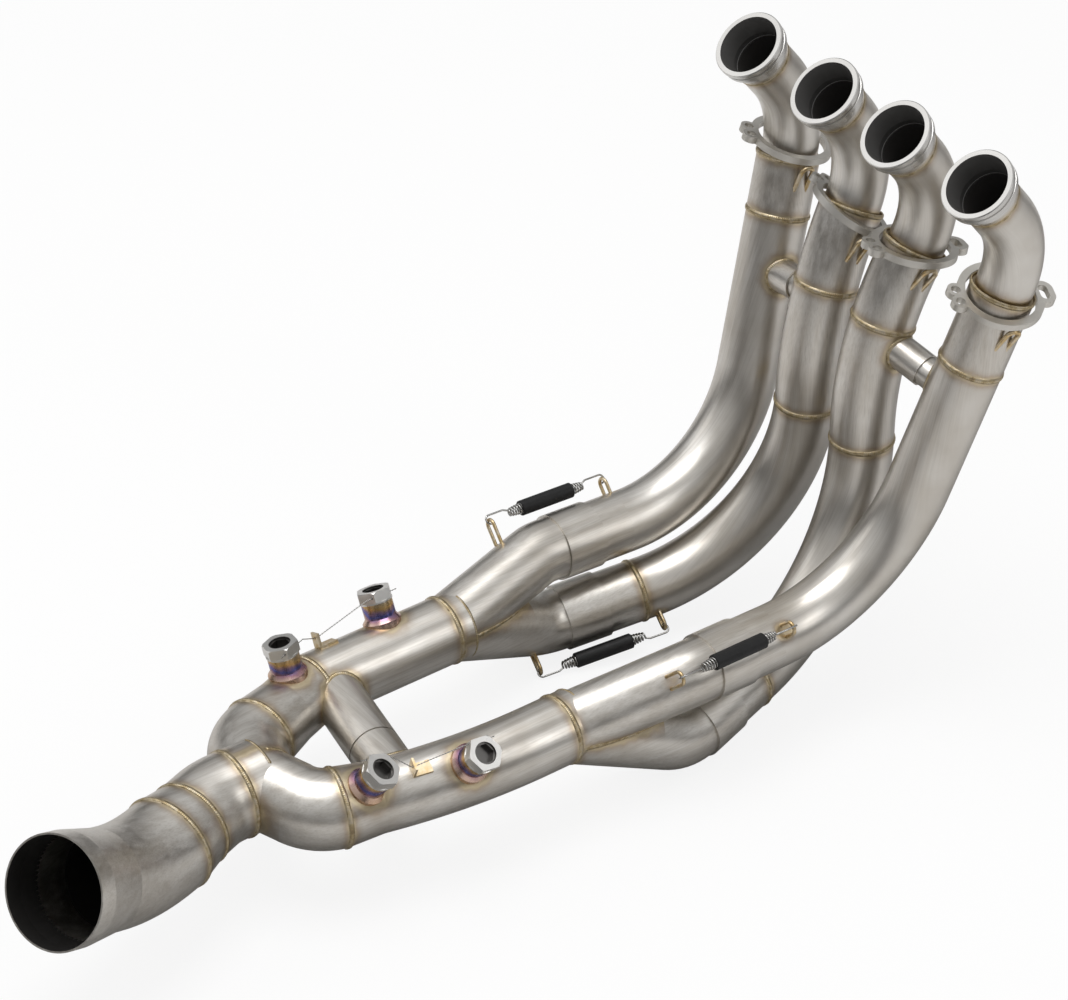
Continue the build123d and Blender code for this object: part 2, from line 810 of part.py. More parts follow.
def tail_link():
    """The short cone between the two bends of the tail."""
    link_start, link_end = tail_marks()
    length = link_end - link_start
    start = TAIL.plane(link_start)
    cone = [
        (bore(TAIL_OD) / 2, 0),
        (TAIL_OD / 2, 0),
        (OUTLET_BEND_OD / 2, length),
        (bore(OUTLET_BEND_OD) / 2, length),
    ]
    return turned(cone, start) + bead_before(TAIL, link_end, OUTLET_BEND_OD)


def outlet_pipe():
    """The rising bend, flared to the mouth that the silencer's link pipe takes."""
    _, link_end = tail_marks()
    flare_start = TAIL.length - FLARE_LENGTH
    pipe = TAIL.tube(OUTLET_BEND_OD, link_end, flare_start)
    flare = [
        (bore(OUTLET_BEND_OD) / 2, 0),
        (OUTLET_BEND_OD / 2, 0),
        (OUTLET_OD / 2, FLARE_LENGTH - FLARE_STRAIGHT),
        (OUTLET_OD / 2, FLARE_LENGTH),
        (bore(OUTLET_OD) / 2, FLARE_LENGTH),
        (bore(OUTLET_OD) / 2, FLARE_LENGTH - FLARE_STRAIGHT),
    ]
    return pipe + turned(flare, TAIL.plane(flare_start)) + bead_after(TAIL, link_end, OUTLET_BEND_OD)


# Sensor bungs, plugs, washers
BUNG_TOP = SECONDARY_OD / 2 + BUNG_HEIGHT


def sensor_bungs():
    bungs = []
    for name in SIDES:
        outside = side_envelope(name)
        for plane in bung_planes(name):
            body = [
                (BUNG_BORE / 2, BUNG_ROOT),
                (BUNG_FOOT_D / 2, BUNG_ROOT),
                (BUNG_FOOT_D / 2, SECONDARY_OD / 2 + EDGE_BREAK),
                (BUNG_OD / 2, SECONDARY_OD / 2 + BUNG_FOOT_HEIGHT),
                (BUNG_OD / 2, BUNG_TOP),
                (BUNG_BORE / 2, BUNG_TOP),
            ]
            bungs.append(turned(body, plane) - outside)
    return bungs


def plug_washers():
    washers = []
    for name in SIDES:
        for plane in bung_planes(name):
            ring = Cylinder(WASHER_OD / 2, WASHER_THICKNESS) - Cylinder(BUNG_BORE / 2, WASHER_THICKNESS)
            washers.append(plane.location * Pos(0, 0, BUNG_TOP + WASHER_THICKNESS / 2) * ring)
    return washers


def bung_plug():
    """A hexagon plug with a hexagon recess and a lock-wire hole beside one flat."""
    upward = (Align.CENTER, Align.CENTER, Align.MIN)
    flats, recess_flats = PLUG_FLATS / 2, PLUG_RECESS_FLATS / 2
    shank = Cylinder(PLUG_SHANK_D / 2, PLUG_SHANK_LENGTH, align=(Align.CENTER, Align.CENTER, Align.MAX))
    head = extrude(RegularPolygon(flats, 6, major_radius=False), amount=PLUG_HEAD)
    head = head & Cone(flats + PLUG_HEAD + PLUG_CHAMFER, flats + PLUG_CHAMFER, PLUG_HEAD, align=upward)
    recess = extrude(RegularPolygon(recess_flats, 6, major_radius=False), amount=PLUG_RECESS_DEPTH)
    recess += Pos(0, 0, PLUG_RECESS_DEPTH - PLUG_CUP_RIM) * Cylinder(
        recess_flats + PLUG_CUP_RIM, PLUG_CUP_RIM, align=upward
    )
    hole = Pos(0, PLUG_WIRE_INSET - flats, PLUG_HEAD / 2) * Rot(0, 90, 0) * Cylinder(
        PLUG_WIRE_HOLE_D / 2, PLUG_FLATS
    )
    return head + shank - Pos(0, 0, PLUG_HEAD - PLUG_RECESS_DEPTH) * recess - hole


def bung_plugs():
    plug = bung_plug()
    seated = Pos(0, 0, BUNG_TOP + WASHER_THICKNESS)
    return [plane.location * seated * plug for name in SIDES for plane in bung_planes(name)]


def tab_plane(side_name):
    """The plane of a lock-wire tab, on the tube's axis between its two bungs."""
    place = TAB_PLACE_12 if side_name == "12" else TAB_PLACE_34
    return tilted(SECONDARY[side_name].plane(place), SIDES[side_name], TAB_TILT)


def upright_place(side_name):
    """Where a tab's upright stands along its foot, at the end towards the outlet."""
    return SIDES[side_name] * (TAB_FOOT - TAB_THICKNESS) / 2


def wire_tabs():
    """An angle bracket on each side, welded along the tube, with one hole for the wire."""
    surface = SECONDARY_OD / 2
    tabs = []
    for name in SIDES:
        end = upright_place(name)
        foot = Box(TAB_FOOT, TAB_WIDTH, 2 * TAB_THICKNESS)
        height = TAB_HEIGHT + TAB_THICKNESS
        upright = Pos(end, 0, height / 2 - TAB_THICKNESS) * Box(TAB_THICKNESS, TAB_WIDTH, height)
        hole = Pos(end, 0, TAB_HOLE_HEIGHT) * Rot(0, 90, 0) * Cylinder(TAB_HOLE_D / 2, 2 * TAB_THICKNESS)
        tab = Pos(0, 0, surface) * (foot + upright - hole)
        tabs.append(tab_plane(name).location * tab - side_envelope(name))
    return tabs


def wire_path(side_name):
    """The corners of a lock wire: straight through each plug's hole and through the tab's."""
    chord = PLUG_FLATS / 2 + WIRE_STRAIGHT
    height = BUNG_TOP + WASHER_THICKNESS + PLUG_HEAD / 2
    inset = PLUG_WIRE_INSET - PLUG_FLATS / 2
    side = SIDES[side_name]
    first, second = bung_planes(side_name)
    corners = []
    for plane, signs in ((first, (-side, side)), (second, (-side, side))):
        corners.append([(plane.location * Pos(sign * chord, inset, height)).position for sign in signs])
    hole_x = upright_place(side_name)
    hole_z = SECONDARY_OD / 2 + TAB_HOLE_HEIGHT
    tab = tab_plane(side_name).location
    reaches = (-side * WIRE_STRAIGHT, side * WIRE_STRAIGHT)
    middle = [(tab * Pos(hole_x + reach, 0, hole_z)).position for reach in reaches]
    return corners[0] + middle + corners[1]


def lock_wires():
    wires = []
    for name in SIDES:
        points = wire_path(name)
        wire = Pos(*points[0]) * Sphere(WIRE_D / 2)
        for start, end in zip(points, points[1:]):
            run = Plane(origin=(start + end) / 2, z_dir=end - start).location
            wire += run * Cylinder(WIRE_D / 2, (end - start).length)
            wire += Pos(*end) * Sphere(WIRE_D / 2)
        wires.append(wire)
    return wires


# Springs, their hooks and sleeves
def spring_plane(port):
    """The line of a spring: its origin at the collector's hook, z towards the primary's."""
    side = 1 if PORT_X[port] > 0 else -1
    outer = port in OUTER_PORTS
    end = PRIMARY[port].plane(PRIMARY[port].length)
    angle = radians(OUTER_SPRING_ANGLE if outer else INNER_SPRING_ANGLE)
    reach = side if outer else -side
    away = square_to(Vector(reach * cos(angle), 0, sin(angle)), end.z_dir)
    ahead = SPRING_AHEAD_OUTER if outer else SPRING_AHEAD_INNER
    origin = end.origin + end.z_dir * ahead + away * SPRING_OFFSET
    return Plane(origin=origin, x_dir=away, z_dir=-end.z_dir)


def spring_hooks():
    """A staple on the collector and one on the primary for each spring."""
    hooks = []
    reach = SPRING_OFFSET - PRIMARY_OD / 2
    for port in PORTS:
        line = spring_plane(port)
        for along, route in ((0, BRANCH[port]), (SPRING_REACH, PRIMARY[port])):
            seat = line.origin + line.z_dir * along - line.x_dir * reach
            plane = Plane(origin=seat, x_dir=line.z_dir, z_dir=line.x_dir)
            hook = wire_loop(plane, HOOK_ROD_D, HOOK_SPAN, reach, PRIMARY_OD / 2)
            hooks.append(hook - route.rod(PRIMARY_OD))
    return hooks


def coil_outline():
    """One half of a spring's outline, from the middle of its nose to its body."""
    radius = SPRING_COIL_OD / 2
    outline = [(0, 0), (radius * SPRING_NOSE, 0)]
    for turn in range(SPRING_END_TURNS):
        share = SPRING_FIRST_CREST + (1 - SPRING_FIRST_CREST) * turn / (SPRING_END_TURNS - 1)
        crest = radius * share
        base = turn * SPRING_PITCH
        outline.append((crest, base + SPRING_PITCH * SPRING_CREST_START))
        outline.append((crest, base + SPRING_PITCH * SPRING_CREST_END))
        outline.append((crest - SPRING_WIRE_D * SPRING_VALLEY, base + SPRING_PITCH))
    return outline


def spring(port):
    """A close-wound spring with tapering ends and a long hook at each end."""
    plane = spring_plane(port)
    middle = SPRING_REACH / 2
    half = SPRING_BODY / 2
    outline = [(radius, middle - half + height) for radius, height in coil_outline()]
    outline += [(radius, 2 * middle - height) for radius, height in reversed(outline)]
    body = turned(outline, plane)
    radius = SPRING_HOOK_RADIUS
    for sign in (-1, 1):
        far = middle + sign * middle
        centre = far - sign * (radius - HOOK_ROD_D / 2 - SPRING_WIRE_D / 2 - SPRING_GAP)
        start = (0, 0, middle + sign * (half - SPRING_SHANK_INSET))
        bend = (radius, 0, middle + sign * (half + SPRING_SHANK))
        begin = (radius, 0, centre)
        path = Line(start, bend) + Line(bend, begin)
        path += ThreePointArc(begin, (0, 0, centre + sign * radius), (-radius, 0, centre))
        face = Plane(origin=start, z_dir=Vector(*bend) - Vector(*start)) * Circle(SPRING_WIRE_D / 2)
        body += plane.location * sweep(face, path=path, transition=Transition.ROUND)
    return body


def spring_sleeve(port):
    plane = spring_plane(port)
    start = Plane(origin=plane.origin + plane.z_dir * (SPRING_REACH - SLEEVE_LENGTH) / 2, z_dir=plane.z_dir)
    inner = SPRING_COIL_OD / 2 + SLEEVE_GAP
    outer = SLEEVE_OD / 2
    outline = [
        (inner, 0),
        (outer - EDGE_BREAK, 0),
        (outer, EDGE_BREAK),
        (outer, SLEEVE_LENGTH - EDGE_BREAK),
        (outer - EDGE_BREAK, SLEEVE_LENGTH),
        (inner, SLEEVE_LENGTH),
    ]
    return turned(outline, start)


def save(name, solids):
    """One file for each named piece; a list is a group of like pieces."""
    shape = Compound(children=list(solids)) if isinstance(solids, list) else solids
    export_step(shape, f"parts/{name}.step")


def main():
    os.makedirs("parts", exist_ok=True)
    for port in PORTS:
        window = link_window("12" if port < 3 else "34")
        save(f"port_collar_{port}", port_collar(port))
        save(f"port_elbow_{port}", port_elbow(port))
        save(f"head_flange_{port}", head_flange(port))
        save(f"flange_stop_{port}", flange_stop(port))
        save(f"primary_neck_{port}", primary_neck(port) - window)
        if port not in OUTER_PORTS:
            save(f"primary_middle_{port}", primary_middle(port) - window)
        save(f"primary_bend_{port}", primary_bend(port) - window)
        save(f"primary_slip_end_{port}", primary_slip_end(port))
        save(f"spring_{port}", spring(port))
        save(f"spring_sleeve_{port}", spring_sleeve(port))
    for name in SIDES:
        save(f"link_socket_{name}", link_socket(name))
        save(f"link_spigot_{name}", link_spigot(name))
        save(f"merge_collector_{name}", collector(name))
        save(f"secondary_{name}", secondary(name))
        save(f"lead_pipe_{name}", lead_pipe(name))
    save("crossover_socket", crossover_socket())
    save("crossover_spigot", crossover_spigot())
    save("final_merge", final_merge())
    save("tail_bend", tail_bend())
    save("tail_link", tail_link())
    save("outlet_pipe", outlet_pipe())
    save("sensor_bungs", sensor_bungs())
    save("plug_washers", plug_washers())
    save("bung_plugs", bung_plugs())
    save("wire_tabs", wire_tabs())
    save("lock_wires", lock_wires())
    save("spring_hooks", spring_hooks())


main()
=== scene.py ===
"""The looks of the exhaust header: brushed tubes, heat-tinted welds, coil springs and lock wires."""
import bpy
import math
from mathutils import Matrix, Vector


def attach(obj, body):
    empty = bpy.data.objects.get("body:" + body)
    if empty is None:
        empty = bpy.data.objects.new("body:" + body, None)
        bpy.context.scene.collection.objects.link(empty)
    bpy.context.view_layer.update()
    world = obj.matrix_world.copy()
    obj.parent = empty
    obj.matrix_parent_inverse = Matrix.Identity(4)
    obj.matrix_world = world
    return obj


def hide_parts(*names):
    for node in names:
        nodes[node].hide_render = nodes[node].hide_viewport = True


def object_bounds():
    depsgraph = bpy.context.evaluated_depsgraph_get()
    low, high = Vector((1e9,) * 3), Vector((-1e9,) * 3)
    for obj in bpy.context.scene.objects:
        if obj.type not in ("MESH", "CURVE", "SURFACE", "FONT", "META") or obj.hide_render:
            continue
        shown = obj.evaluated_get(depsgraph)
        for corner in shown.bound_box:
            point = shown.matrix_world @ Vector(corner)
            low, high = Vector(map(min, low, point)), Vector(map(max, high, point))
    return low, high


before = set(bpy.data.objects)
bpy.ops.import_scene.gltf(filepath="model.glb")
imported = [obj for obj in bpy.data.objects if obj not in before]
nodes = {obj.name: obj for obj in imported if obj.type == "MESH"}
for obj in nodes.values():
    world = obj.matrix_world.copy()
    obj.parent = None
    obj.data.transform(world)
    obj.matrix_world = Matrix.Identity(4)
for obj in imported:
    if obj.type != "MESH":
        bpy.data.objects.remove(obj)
cad_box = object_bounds()
scene = bpy.context.scene
scene.view_settings.view_transform = "Standard"

# Places of the welds round whole tubes: centre, direction of the tube, radius, the tubes that they join
RING_WELDS = [
    ((-0.116, 0.01267, -0.01548), (0, 0.6334, -0.7738), 0.02, "port_elbow_1"),
    ((-0.11117, 0.03673, -0.09655), (0.1216, -0.2871, -0.9502), 0.0225, "primary_neck_1 port_elbow_1"),
    ((-0.10606, 0.02468, -0.13646), (0.1216, -0.2871, -0.9502), 0.0225, "primary_neck_1 primary_bend_1"),
    ((-0.036, 0.01267, -0.01548), (0, 0.6334, -0.7738), 0.02, "port_elbow_2"),
    ((-0.03289, 0.02818, -0.09769), (0.0711, -0.4555, -0.8874), 0.0225, "primary_neck_2 port_elbow_2"),
    ((-0.0298, 0.00626, -0.15119), (0.0325, -0.2871, -0.9573), 0.0225, "primary_neck_2 primary_middle_2"),
    ((-0.02993, -0.00632, -0.24296), (-0.0334, -0.0253, -0.9991), 0.0225, "primary_middle_2 primary_bend_2"),
    ((-0.06272, -0.13094, -0.37633), (-0.229, -0.9666, -0.115), 0.0225, "primary_bend_2 primary_slip_end_2"),
    ((0.036, 0.01267, -0.01548), (0, 0.6334, -0.7738), 0.02, "port_elbow_3"),
    ((0.03289, 0.02818, -0.09769), (-0.0711, -0.4555, -0.8874), 0.0225, "primary_neck_3 port_elbow_3"),
    ((0.02983, 0.00655, -0.15024), (-0.0332, -0.2903, -0.9563), 0.0225, "primary_neck_3 primary_middle_3"),
    ((0.0299, -0.0063, -0.24196), (0.0318, -0.0182, -0.9993), 0.0225, "primary_middle_3 primary_bend_3"),
    ((0.06272, -0.13094, -0.37633), (0.229, -0.9666, -0.115), 0.0225, "primary_bend_3 primary_slip_end_3"),
    ((0.116, 0.01267, -0.01548), (0, 0.6334, -0.7738), 0.02, "port_elbow_4"),
    ((0.11117, 0.03673, -0.09655), (-0.1216, -0.2871, -0.9502), 0.0225, "primary_neck_4 port_elbow_4"),
    ((0.10412, 0.02008, -0.15166), (-0.1216, -0.2871, -0.9502), 0.0225, "primary_neck_4 primary_bend_4"),
    ((-0.067, -0.295, -0.34), (0, -1, 0), 0.02425, "merge_collector_12 secondary_12"),
    ((-0.0464, -0.45822, -0.34), (0.3551, -0.9348, 0), 0.027, "lead_pipe_12 final_merge"),
    ((0.067, -0.295, -0.34), (0, -1, 0), 0.02425, "merge_collector_34 secondary_34"),
    ((0.04598, -0.45822, -0.34), (-0.2317, -0.9728, 0), 0.027, "lead_pipe_34 final_merge"),
    ((0, -0.508, -0.335), (0, -1, 0), 0.03, "final_merge tail_bend"),
    ((0.00871, -0.54643, -0.335), (0.3486, -0.9373, 0), 0.03, "tail_bend tail_link"),
    ((0.01656, -0.56752, -0.335), (0.3486, -0.9373, 0), 0.0335, "tail_link outlet_pipe"),
]
MITRE_12 = ((-0.067, -0.404, -0.34), (0.1805, -0.9836, 0), 0.02425)
SECONDARY_AXIS = (0, -1, 0)

# A small tube that ends on a larger one: a point on its axis, its heading into the larger one,
# its radius, a point on the larger one's axis, that one's direction and radius
BRANCH_WELDS = {
    "link_12_start": ((-0.0602, 0.0075, -0.1674), (-0.971, 0.1253, -0.2037), 0.012,
                      (-0.101, 0.01273, -0.176), (0.1216, -0.2871, -0.9502), 0.0225),
    "link_12_end": ((-0.0602, 0.0075, -0.1674), (0.971, -0.1253, 0.2037), 0.0105,
                    (-0.02951, 0.0035, -0.161), (0.025, -0.2541, -0.9668), 0.0225),
    "link_34_start": ((0.0602, 0.0075, -0.1674), (-0.971, -0.1253, 0.2037), 0.012,
                      (0.02951, 0.0035, -0.161), (-0.025, -0.2541, -0.9668), 0.0225),
    "link_34_end": ((0.0602, 0.0075, -0.1674), (0.971, 0.1253, -0.2037), 0.0105,
                    (0.101, 0.01273, -0.176), (-0.1216, -0.2871, -0.9502), 0.0225),
    "crossover_start": ((-0.0053, -0.4025, -0.34), (-0.9831, 0.1833, 0), 0.018,
                        (-0.067, -0.391, -0.34), (0, -1, 0), 0.02425),
    "crossover_end": ((-0.0053, -0.4025, -0.34), (0.9831, -0.1833, 0), 0.018,
                      (0.05639, -0.414, -0.34), (-0.208, -0.978, 0), 0.02425),
}

# Bungs: a point on the tube's axis, the bung's direction and the tube's direction
BUNGS = [
    ((-0.067, -0.3385, -0.34), (-0.4384, 0, 0.8988), (0, -1, 0)),
    ((-0.06079, -0.42036, -0.34), (-0.2271, -0.0863, 0.97), (0.3551, -0.9348, 0)),
    ((0.06282, -0.37682, -0.34), (0.6464, 0.0632, 0.7604), (-0.1317, -0.9913, 0)),
    ((0.04807, -0.44946, -0.34), (0.4922, 0.2343, 0.8383), (-0.2317, -0.9728, 0)),
]
TUBE_RADIUS = 0.02425
BUNG_FOOT_RADIUS = 0.0135
PLUG_SOCKET_RADIUS = 0.0078
PLUG_FACE = 0.0470

# Where two tubes of one size meet in a fork: the point of meeting, their two directions and radius
FORKS = [
    ((-0.067, -0.295, -0.34), (0.1874, -0.971, -0.1482), (0.1176, -0.8969, 0.4263), 0.0225),
    ((0.067, -0.295, -0.34), (-0.1874, -0.971, -0.1482), (-0.1176, -0.8969, 0.4263), 0.0225),
    ((0, -0.492, -0.335), (0.9008, -0.42, 0.1104), (-0.9012, -0.4203, 0.1056), 0.027),
]

# The front edge of each fork's trunk: its centre and radius
NOSES = [
    ((-0.067, -0.2828, -0.34), 0.02425),
    ((0.067, -0.2828, -0.34), 0.02425),
    ((0, -0.4878, -0.335), 0.030),
]
NOSE_BEAD_INSET = 0.0010
NOSE_BEAD_DEPTH = 0.0012

# Springs: the point of the hook at the collector, the direction away from the tube
# and the direction of the spring
SPRINGS = {
    1: ((-0.1097, -0.22543, -0.30072), (-0.7067, 0.0449, 0.7061), (0.0242, 0.9989, -0.0393)),
    2: ((-0.05424, -0.22067, -0.40418), (0.8422, -0.1375, -0.5214), (0.229, 0.9666, 0.115)),
    3: ((0.05424, -0.22067, -0.40418), (-0.8422, -0.1375, -0.5214), (-0.229, 0.9666, 0.115)),
    4: ((0.1097, -0.22543, -0.30072), (0.7067, 0.0449, 0.7061), (-0.0242, 0.9989, -0.0393)),
}
SPRING_REACH = 0.097
SPRING_BODY = 0.064
COIL_RADIUS = 0.0036
COIL_NECK = 0.5
COIL_TAPER = 0.0105
COIL_END = 0.6
TAPER_TURNS = 5
TURN_STEPS = 14
TURN_SLACK = 1.04
SHANK_START = 0.001
SHANK_END = 0.0035
WIRE_RADIUS = 0.0007
WIRE_SIDES = 2
HOOK_RADIUS = 0.0032
HOOK_STEPS = 16
HOOK_GAP = 0.00015
HOOK_ROD = 0.0026
HOOK_RISE = 0.010
HOOK_FOOT_RADIUS = 0.005

# Corners of the two lock wires
WIRE_PATHS = [
    [(-0.07789, -0.3259, -0.29669), (-0.07789, -0.3511, -0.29669), (-0.08042, -0.3886, -0.31122),
     (-0.08042, -0.3918, -0.31122), (-0.06684, -0.40918, -0.29537), (-0.05789, -0.43274, -0.29537)],
    [(0.08452, -0.36061, -0.30232), (0.0836, -0.38563, -0.29946), (0.07023, -0.41247, -0.31113),
     (0.06961, -0.41561, -0.31113), (0.06245, -0.42535, -0.30305), (0.06075, -0.44929, -0.29536)],
]
STRAND_RADIUS = 0.00023
STRAND_SIDES = 1
STRAND_OFFSET = 0.00021
STRAND_PITCH = 0.0042
STRAND_STEP = 0.0007

# Insides of the pipes that show: the outlet's mouth and bend, and the ports
OUTLET_MOUTH = (0.05487, -0.67054, -0.29505)
OUTLET_HEADING = (0.3106, -0.8351, 0.454)
OUTLET_ARC = ((0.01666, -0.56779, -0.205), (0.9373, 0.3486, 0), 0.13)
OUTLET_BORE = 0.0362
OUTLET_LIP = 0.0004
OUTLET_FLARE_START = -0.0138
OUTLET_FLARE = 0.13
OUTLET_BEND_END = -0.0552
OUTLET_BEND_BORE = 0.0329
PORTS = {
    1: (-0.116, (-0.10651, -0.0237, -0.07257), (-0.9893, -0.113, -0.0925)),
    2: (-0.036, (-0.03096, -0.02902, -0.06686), (-0.997, -0.06, -0.0491)),
    3: (0.036, (0.03096, -0.02902, -0.06686), (-0.997, 0.06, 0.0491)),
    4: (0.116, (0.10651, -0.0237, -0.07257), (-0.9893, 0.113, 0.0925)),
}
PORT_HEADING = (0, 0.6334, -0.7738)
ELBOW_BEND = 0.065
ELBOW_START = 0.0345
ELBOW_BORE = 0.0194
COLLAR_RIM = 0.0006
COLLAR_MOUTH_BORE = 0.02185
COLLAR_TAPER = 0.195
COLLAR_BORE = 0.0193

# Camera
CAMERA_TARGET = (0.0453, -0.3, -0.1627)
CAMERA_BACK = (0.6558, -0.4814, 0.5815)
CAMERA_DISTANCE = 2.3
CAMERA_LENS = 121.19
SENSOR_WIDTH = 36.0
FAR_CLIP = 30.0


def set_camera():
    """The photograph's viewing angle, a long lens from the outlet's side."""
    back = Vector(CAMERA_BACK).normalized()
    data = bpy.data.cameras.new("camera")
    data.sensor_width = SENSOR_WIDTH
    data.lens = CAMERA_LENS
    data.clip_end = FAR_CLIP
    camera = bpy.data.objects.new("camera", data)
    camera.location = Vector(CAMERA_TARGET) + back * CAMERA_DISTANCE
    camera.rotation_mode = "QUATERNION"
    camera.rotation_quaternion = (-back).to_track_quat("-Z", "Y")
    scene.collection.objects.link(camera)
    scene.camera = camera


set_camera()


# Shader maths
class Value:
    """A number in a node tree, so that sums are written as Python expressions."""

    def __init__(self, finish, socket):
        self.finish = finish
        self.socket = socket

    def work(self, operation, *others, clamp=False):
        settings = {"operation": operation, "use_clamp": clamp}
        node = self.finish.node("ShaderNodeMath", settings, dict(enumerate((self,) + others)))
        return Value(self.finish, node.outputs[0])

    def __add__(self, other):
        return self.work("ADD", other)

    def __sub__(self, other):
        return self.work("SUBTRACT", other)

    def __mul__(self, other):
        return self.work("MULTIPLY", other)

    def __truediv__(self, other):
        return self.work("DIVIDE", other)

    def __lt__(self, other):
        return self.work("LESS_THAN", other)

    def __gt__(self, other):
        return self.work("GREATER_THAN", other)

    def __rsub__(self, other):
        node = self.finish.node("ShaderNodeMath", {"operation": "SUBTRACT"}, {0: other, 1: self})
        return Value(self.finish, node.outputs[0])

    __radd__ = __add__

    def least(self, other):
        return self.work("MINIMUM", other)

    def most(self, other):
        return self.work("MAXIMUM", other)

    def size(self):
        return self.work("ABSOLUTE")

    def clamped(self):
        return self.work("ADD", 0.0, clamp=True)


class Nodes:
    """Short ways to fill a node tree."""

    def __init__(self, tree):
        self.tree = tree

    def node(self, kind, settings=None, inputs=None):
        """A node with its settings first, then the values or links of its sockets."""
        node = self.tree.nodes.new(kind)
        for name, value in (settings or {}).items():
            if name == "stops":
                set_stops(node.color_ramp, value)
            else:
                setattr(node, name, value)
        for name, value in (inputs or {}).items():
            self.feed(node.inputs[name], value)
        return node

    def feed(self, socket, value):
        if isinstance(value, Value):
            self.tree.links.new(value.socket, socket)
        elif isinstance(value, bpy.types.NodeSocket):
            self.tree.links.new(value, socket)
        else:
            socket.default_value = value

    def ramp(self, factor, stops):
        return self.node("ShaderNodeValToRGB", {"stops": stops}, {"Fac": factor}).outputs["Color"]

    def mix(self, factor, first, second):
        node = self.node("ShaderNodeMix", {"data_type": "RGBA"}, {"Factor": factor})
        self.feed(node.inputs[6], first)
        self.feed(node.inputs[7], second)
        return node.outputs[2]


class Finish(Nodes):
    """A procedural material on one piece, in the piece's own metres."""

    def __init__(self, name):
        self.material = bpy.data.materials.new(name)
        self.material.use_nodes = True
        super().__init__(self.material.node_tree)
        self.tree.nodes.clear()
        coordinates = self.node("ShaderNodeTexCoord")
        self.place = coordinates.outputs["Object"]
        self.normal = coordinates.outputs["Normal"]
        self.shader = self.node("ShaderNodeBsdfPrincipled")
        self.output = self.node("ShaderNodeOutputMaterial")
        self.feed(self.output.inputs["Surface"], self.shader.outputs[0])

    def vector(self, operation, first, second=(0, 0, 0)):
        node = self.node("ShaderNodeVectorMath", {"operation": operation}, {0: first, 1: second})
        return node.outputs["Vector"]

    def number(self, operation, first, second=(0, 0, 0)):
        node = self.node("ShaderNodeVectorMath", {"operation": operation}, {0: first, 1: second})
        return Value(self, node.outputs["Value"])

    def from_point(self, centre):
        return self.vector("SUBTRACT", self.place, centre)

    def along(self, centre, heading):
        """The length along a heading from a point."""
        return self.number("DOT_PRODUCT", self.from_point(centre), heading)

    def off_line(self, centre, heading):
        """The distance from a straight axis."""
        return self.number("LENGTH", self.vector("CROSS_PRODUCT", self.from_point(centre), heading))

    def off_arc(self, centre, axis, radius):
        """The distance from a bent axis."""
        out = self.off_line(centre, axis) - radius
        side = self.along(centre, axis)
        return (out * out + side * side).work("SQRT")

    def noise(self, scale, detail=3.0, roughness=0.55, place=None):
        inputs = {"Vector": place or self.place, "Scale": scale, "Detail": detail, "Roughness": roughness}
        node = self.node("ShaderNodeTexNoise", {"noise_dimensions": "3D"}, inputs)
        return Value(self, node.outputs["Fac"])

    def noises(self, start, parts):
        """A number with noises added to it: the scale, detail and amount of each."""
        total = start
        for scale, detail, amount in parts:
            total = total + self.noise(scale, detail) * amount
        return total

    def brushed(self, streaks, fine, long):
        """Scratches that are fine along some axes and drawn out along the others."""
        scales = tuple(long + (fine - long) * share for share in streaks)
        marks = self.noise(1.0, place=self.vector("MULTIPLY", self.place, scales))
        if sum(streaks) > 1:
            return marks
        facing = self.number("DOT_PRODUCT", self.normal, streaks)
        return (marks - 0.5) * (1 - facing * facing) + 0.5

    def set(self, **sockets):
        for name, value in sockets.items():
            self.feed(self.shader.inputs[name.replace("_", " ")], value)

    def bump(self, height, strength, distance):
        inputs = {"Height": height, "Strength": strength, "Distance": distance}
        self.set(Normal=self.node("ShaderNodeBump", None, inputs).outputs["Normal"])

    def surfaced(self, look, colour):
        """The material with a colour and the rest of a look."""
        rough = self.noises(look["rough"], look["uneven"])
        self.set(Base_Color=colour, Roughness=rough, Metallic=look.get("metal", 1.0),
                 Specular_IOR_Level=look.get("shine", 0.5))
        self.bump(self.noises(0.0, look["relief"]), *look["depth"])
        return self.material


def set_stops(ramp, stops):
    while len(ramp.elements) > 1:
        ramp.elements.remove(ramp.elements[0])
    ramp.elements[0].position = stops[0][0]
    ramp.elements[0].color = tuple(stops[0][1]) + (1.0,)
    for position, colour in stops[1:]:
        ramp.elements.new(position).color = tuple(colour) + (1.0,)


# White, and the colours of the tubes
WHITE = (1, 1, 1)
WARM_STEEL = (0.51, 0.475, 0.425)
COOL_STEEL = (0.70, 0.68, 0.645)
DULL_STEEL = (0.34, 0.31, 0.27)
# Painted shade inside the port elbows, and a deeper painted shade inside the outlet pipe
ELBOW_INSIDE_SHADE = (0.055, 0.051, 0.048)
OUTLET_INSIDE_SHADE = (0.012, 0.011, 0.010)
HEAT_COLOURS = [
    (0.0, (0.40, 0.31, 0.18)),
    (0.22, (0.52, 0.42, 0.25)),
    (0.42, (0.36, 0.26, 0.17)),
    (0.66, (0.40, 0.33, 0.26)),
    (1.0, (0.53, 0.50, 0.46)),
]
HEAT_SHARE = [(0.0, (0.85,) * 3), (0.3, (0.7,) * 3), (0.6, (0.32,) * 3), (1.0, (0,) * 3)]

# Reach of the heat tint round a weld, a bung's foot, a hook's foot, and the other feet
HALO = 0.010
BUNG_HALO = 0.012
HOOK_HALO = 0.007
FOOT_HALO = 0.009
LINK_FOOT_RADIUS = 0.013
CROSSOVER_FOOT_RADIUS = 0.019
FORK_HEAT_REACH = 0.062
RING_MARGIN = 0.014
OUT_OF_REACH = 5.0

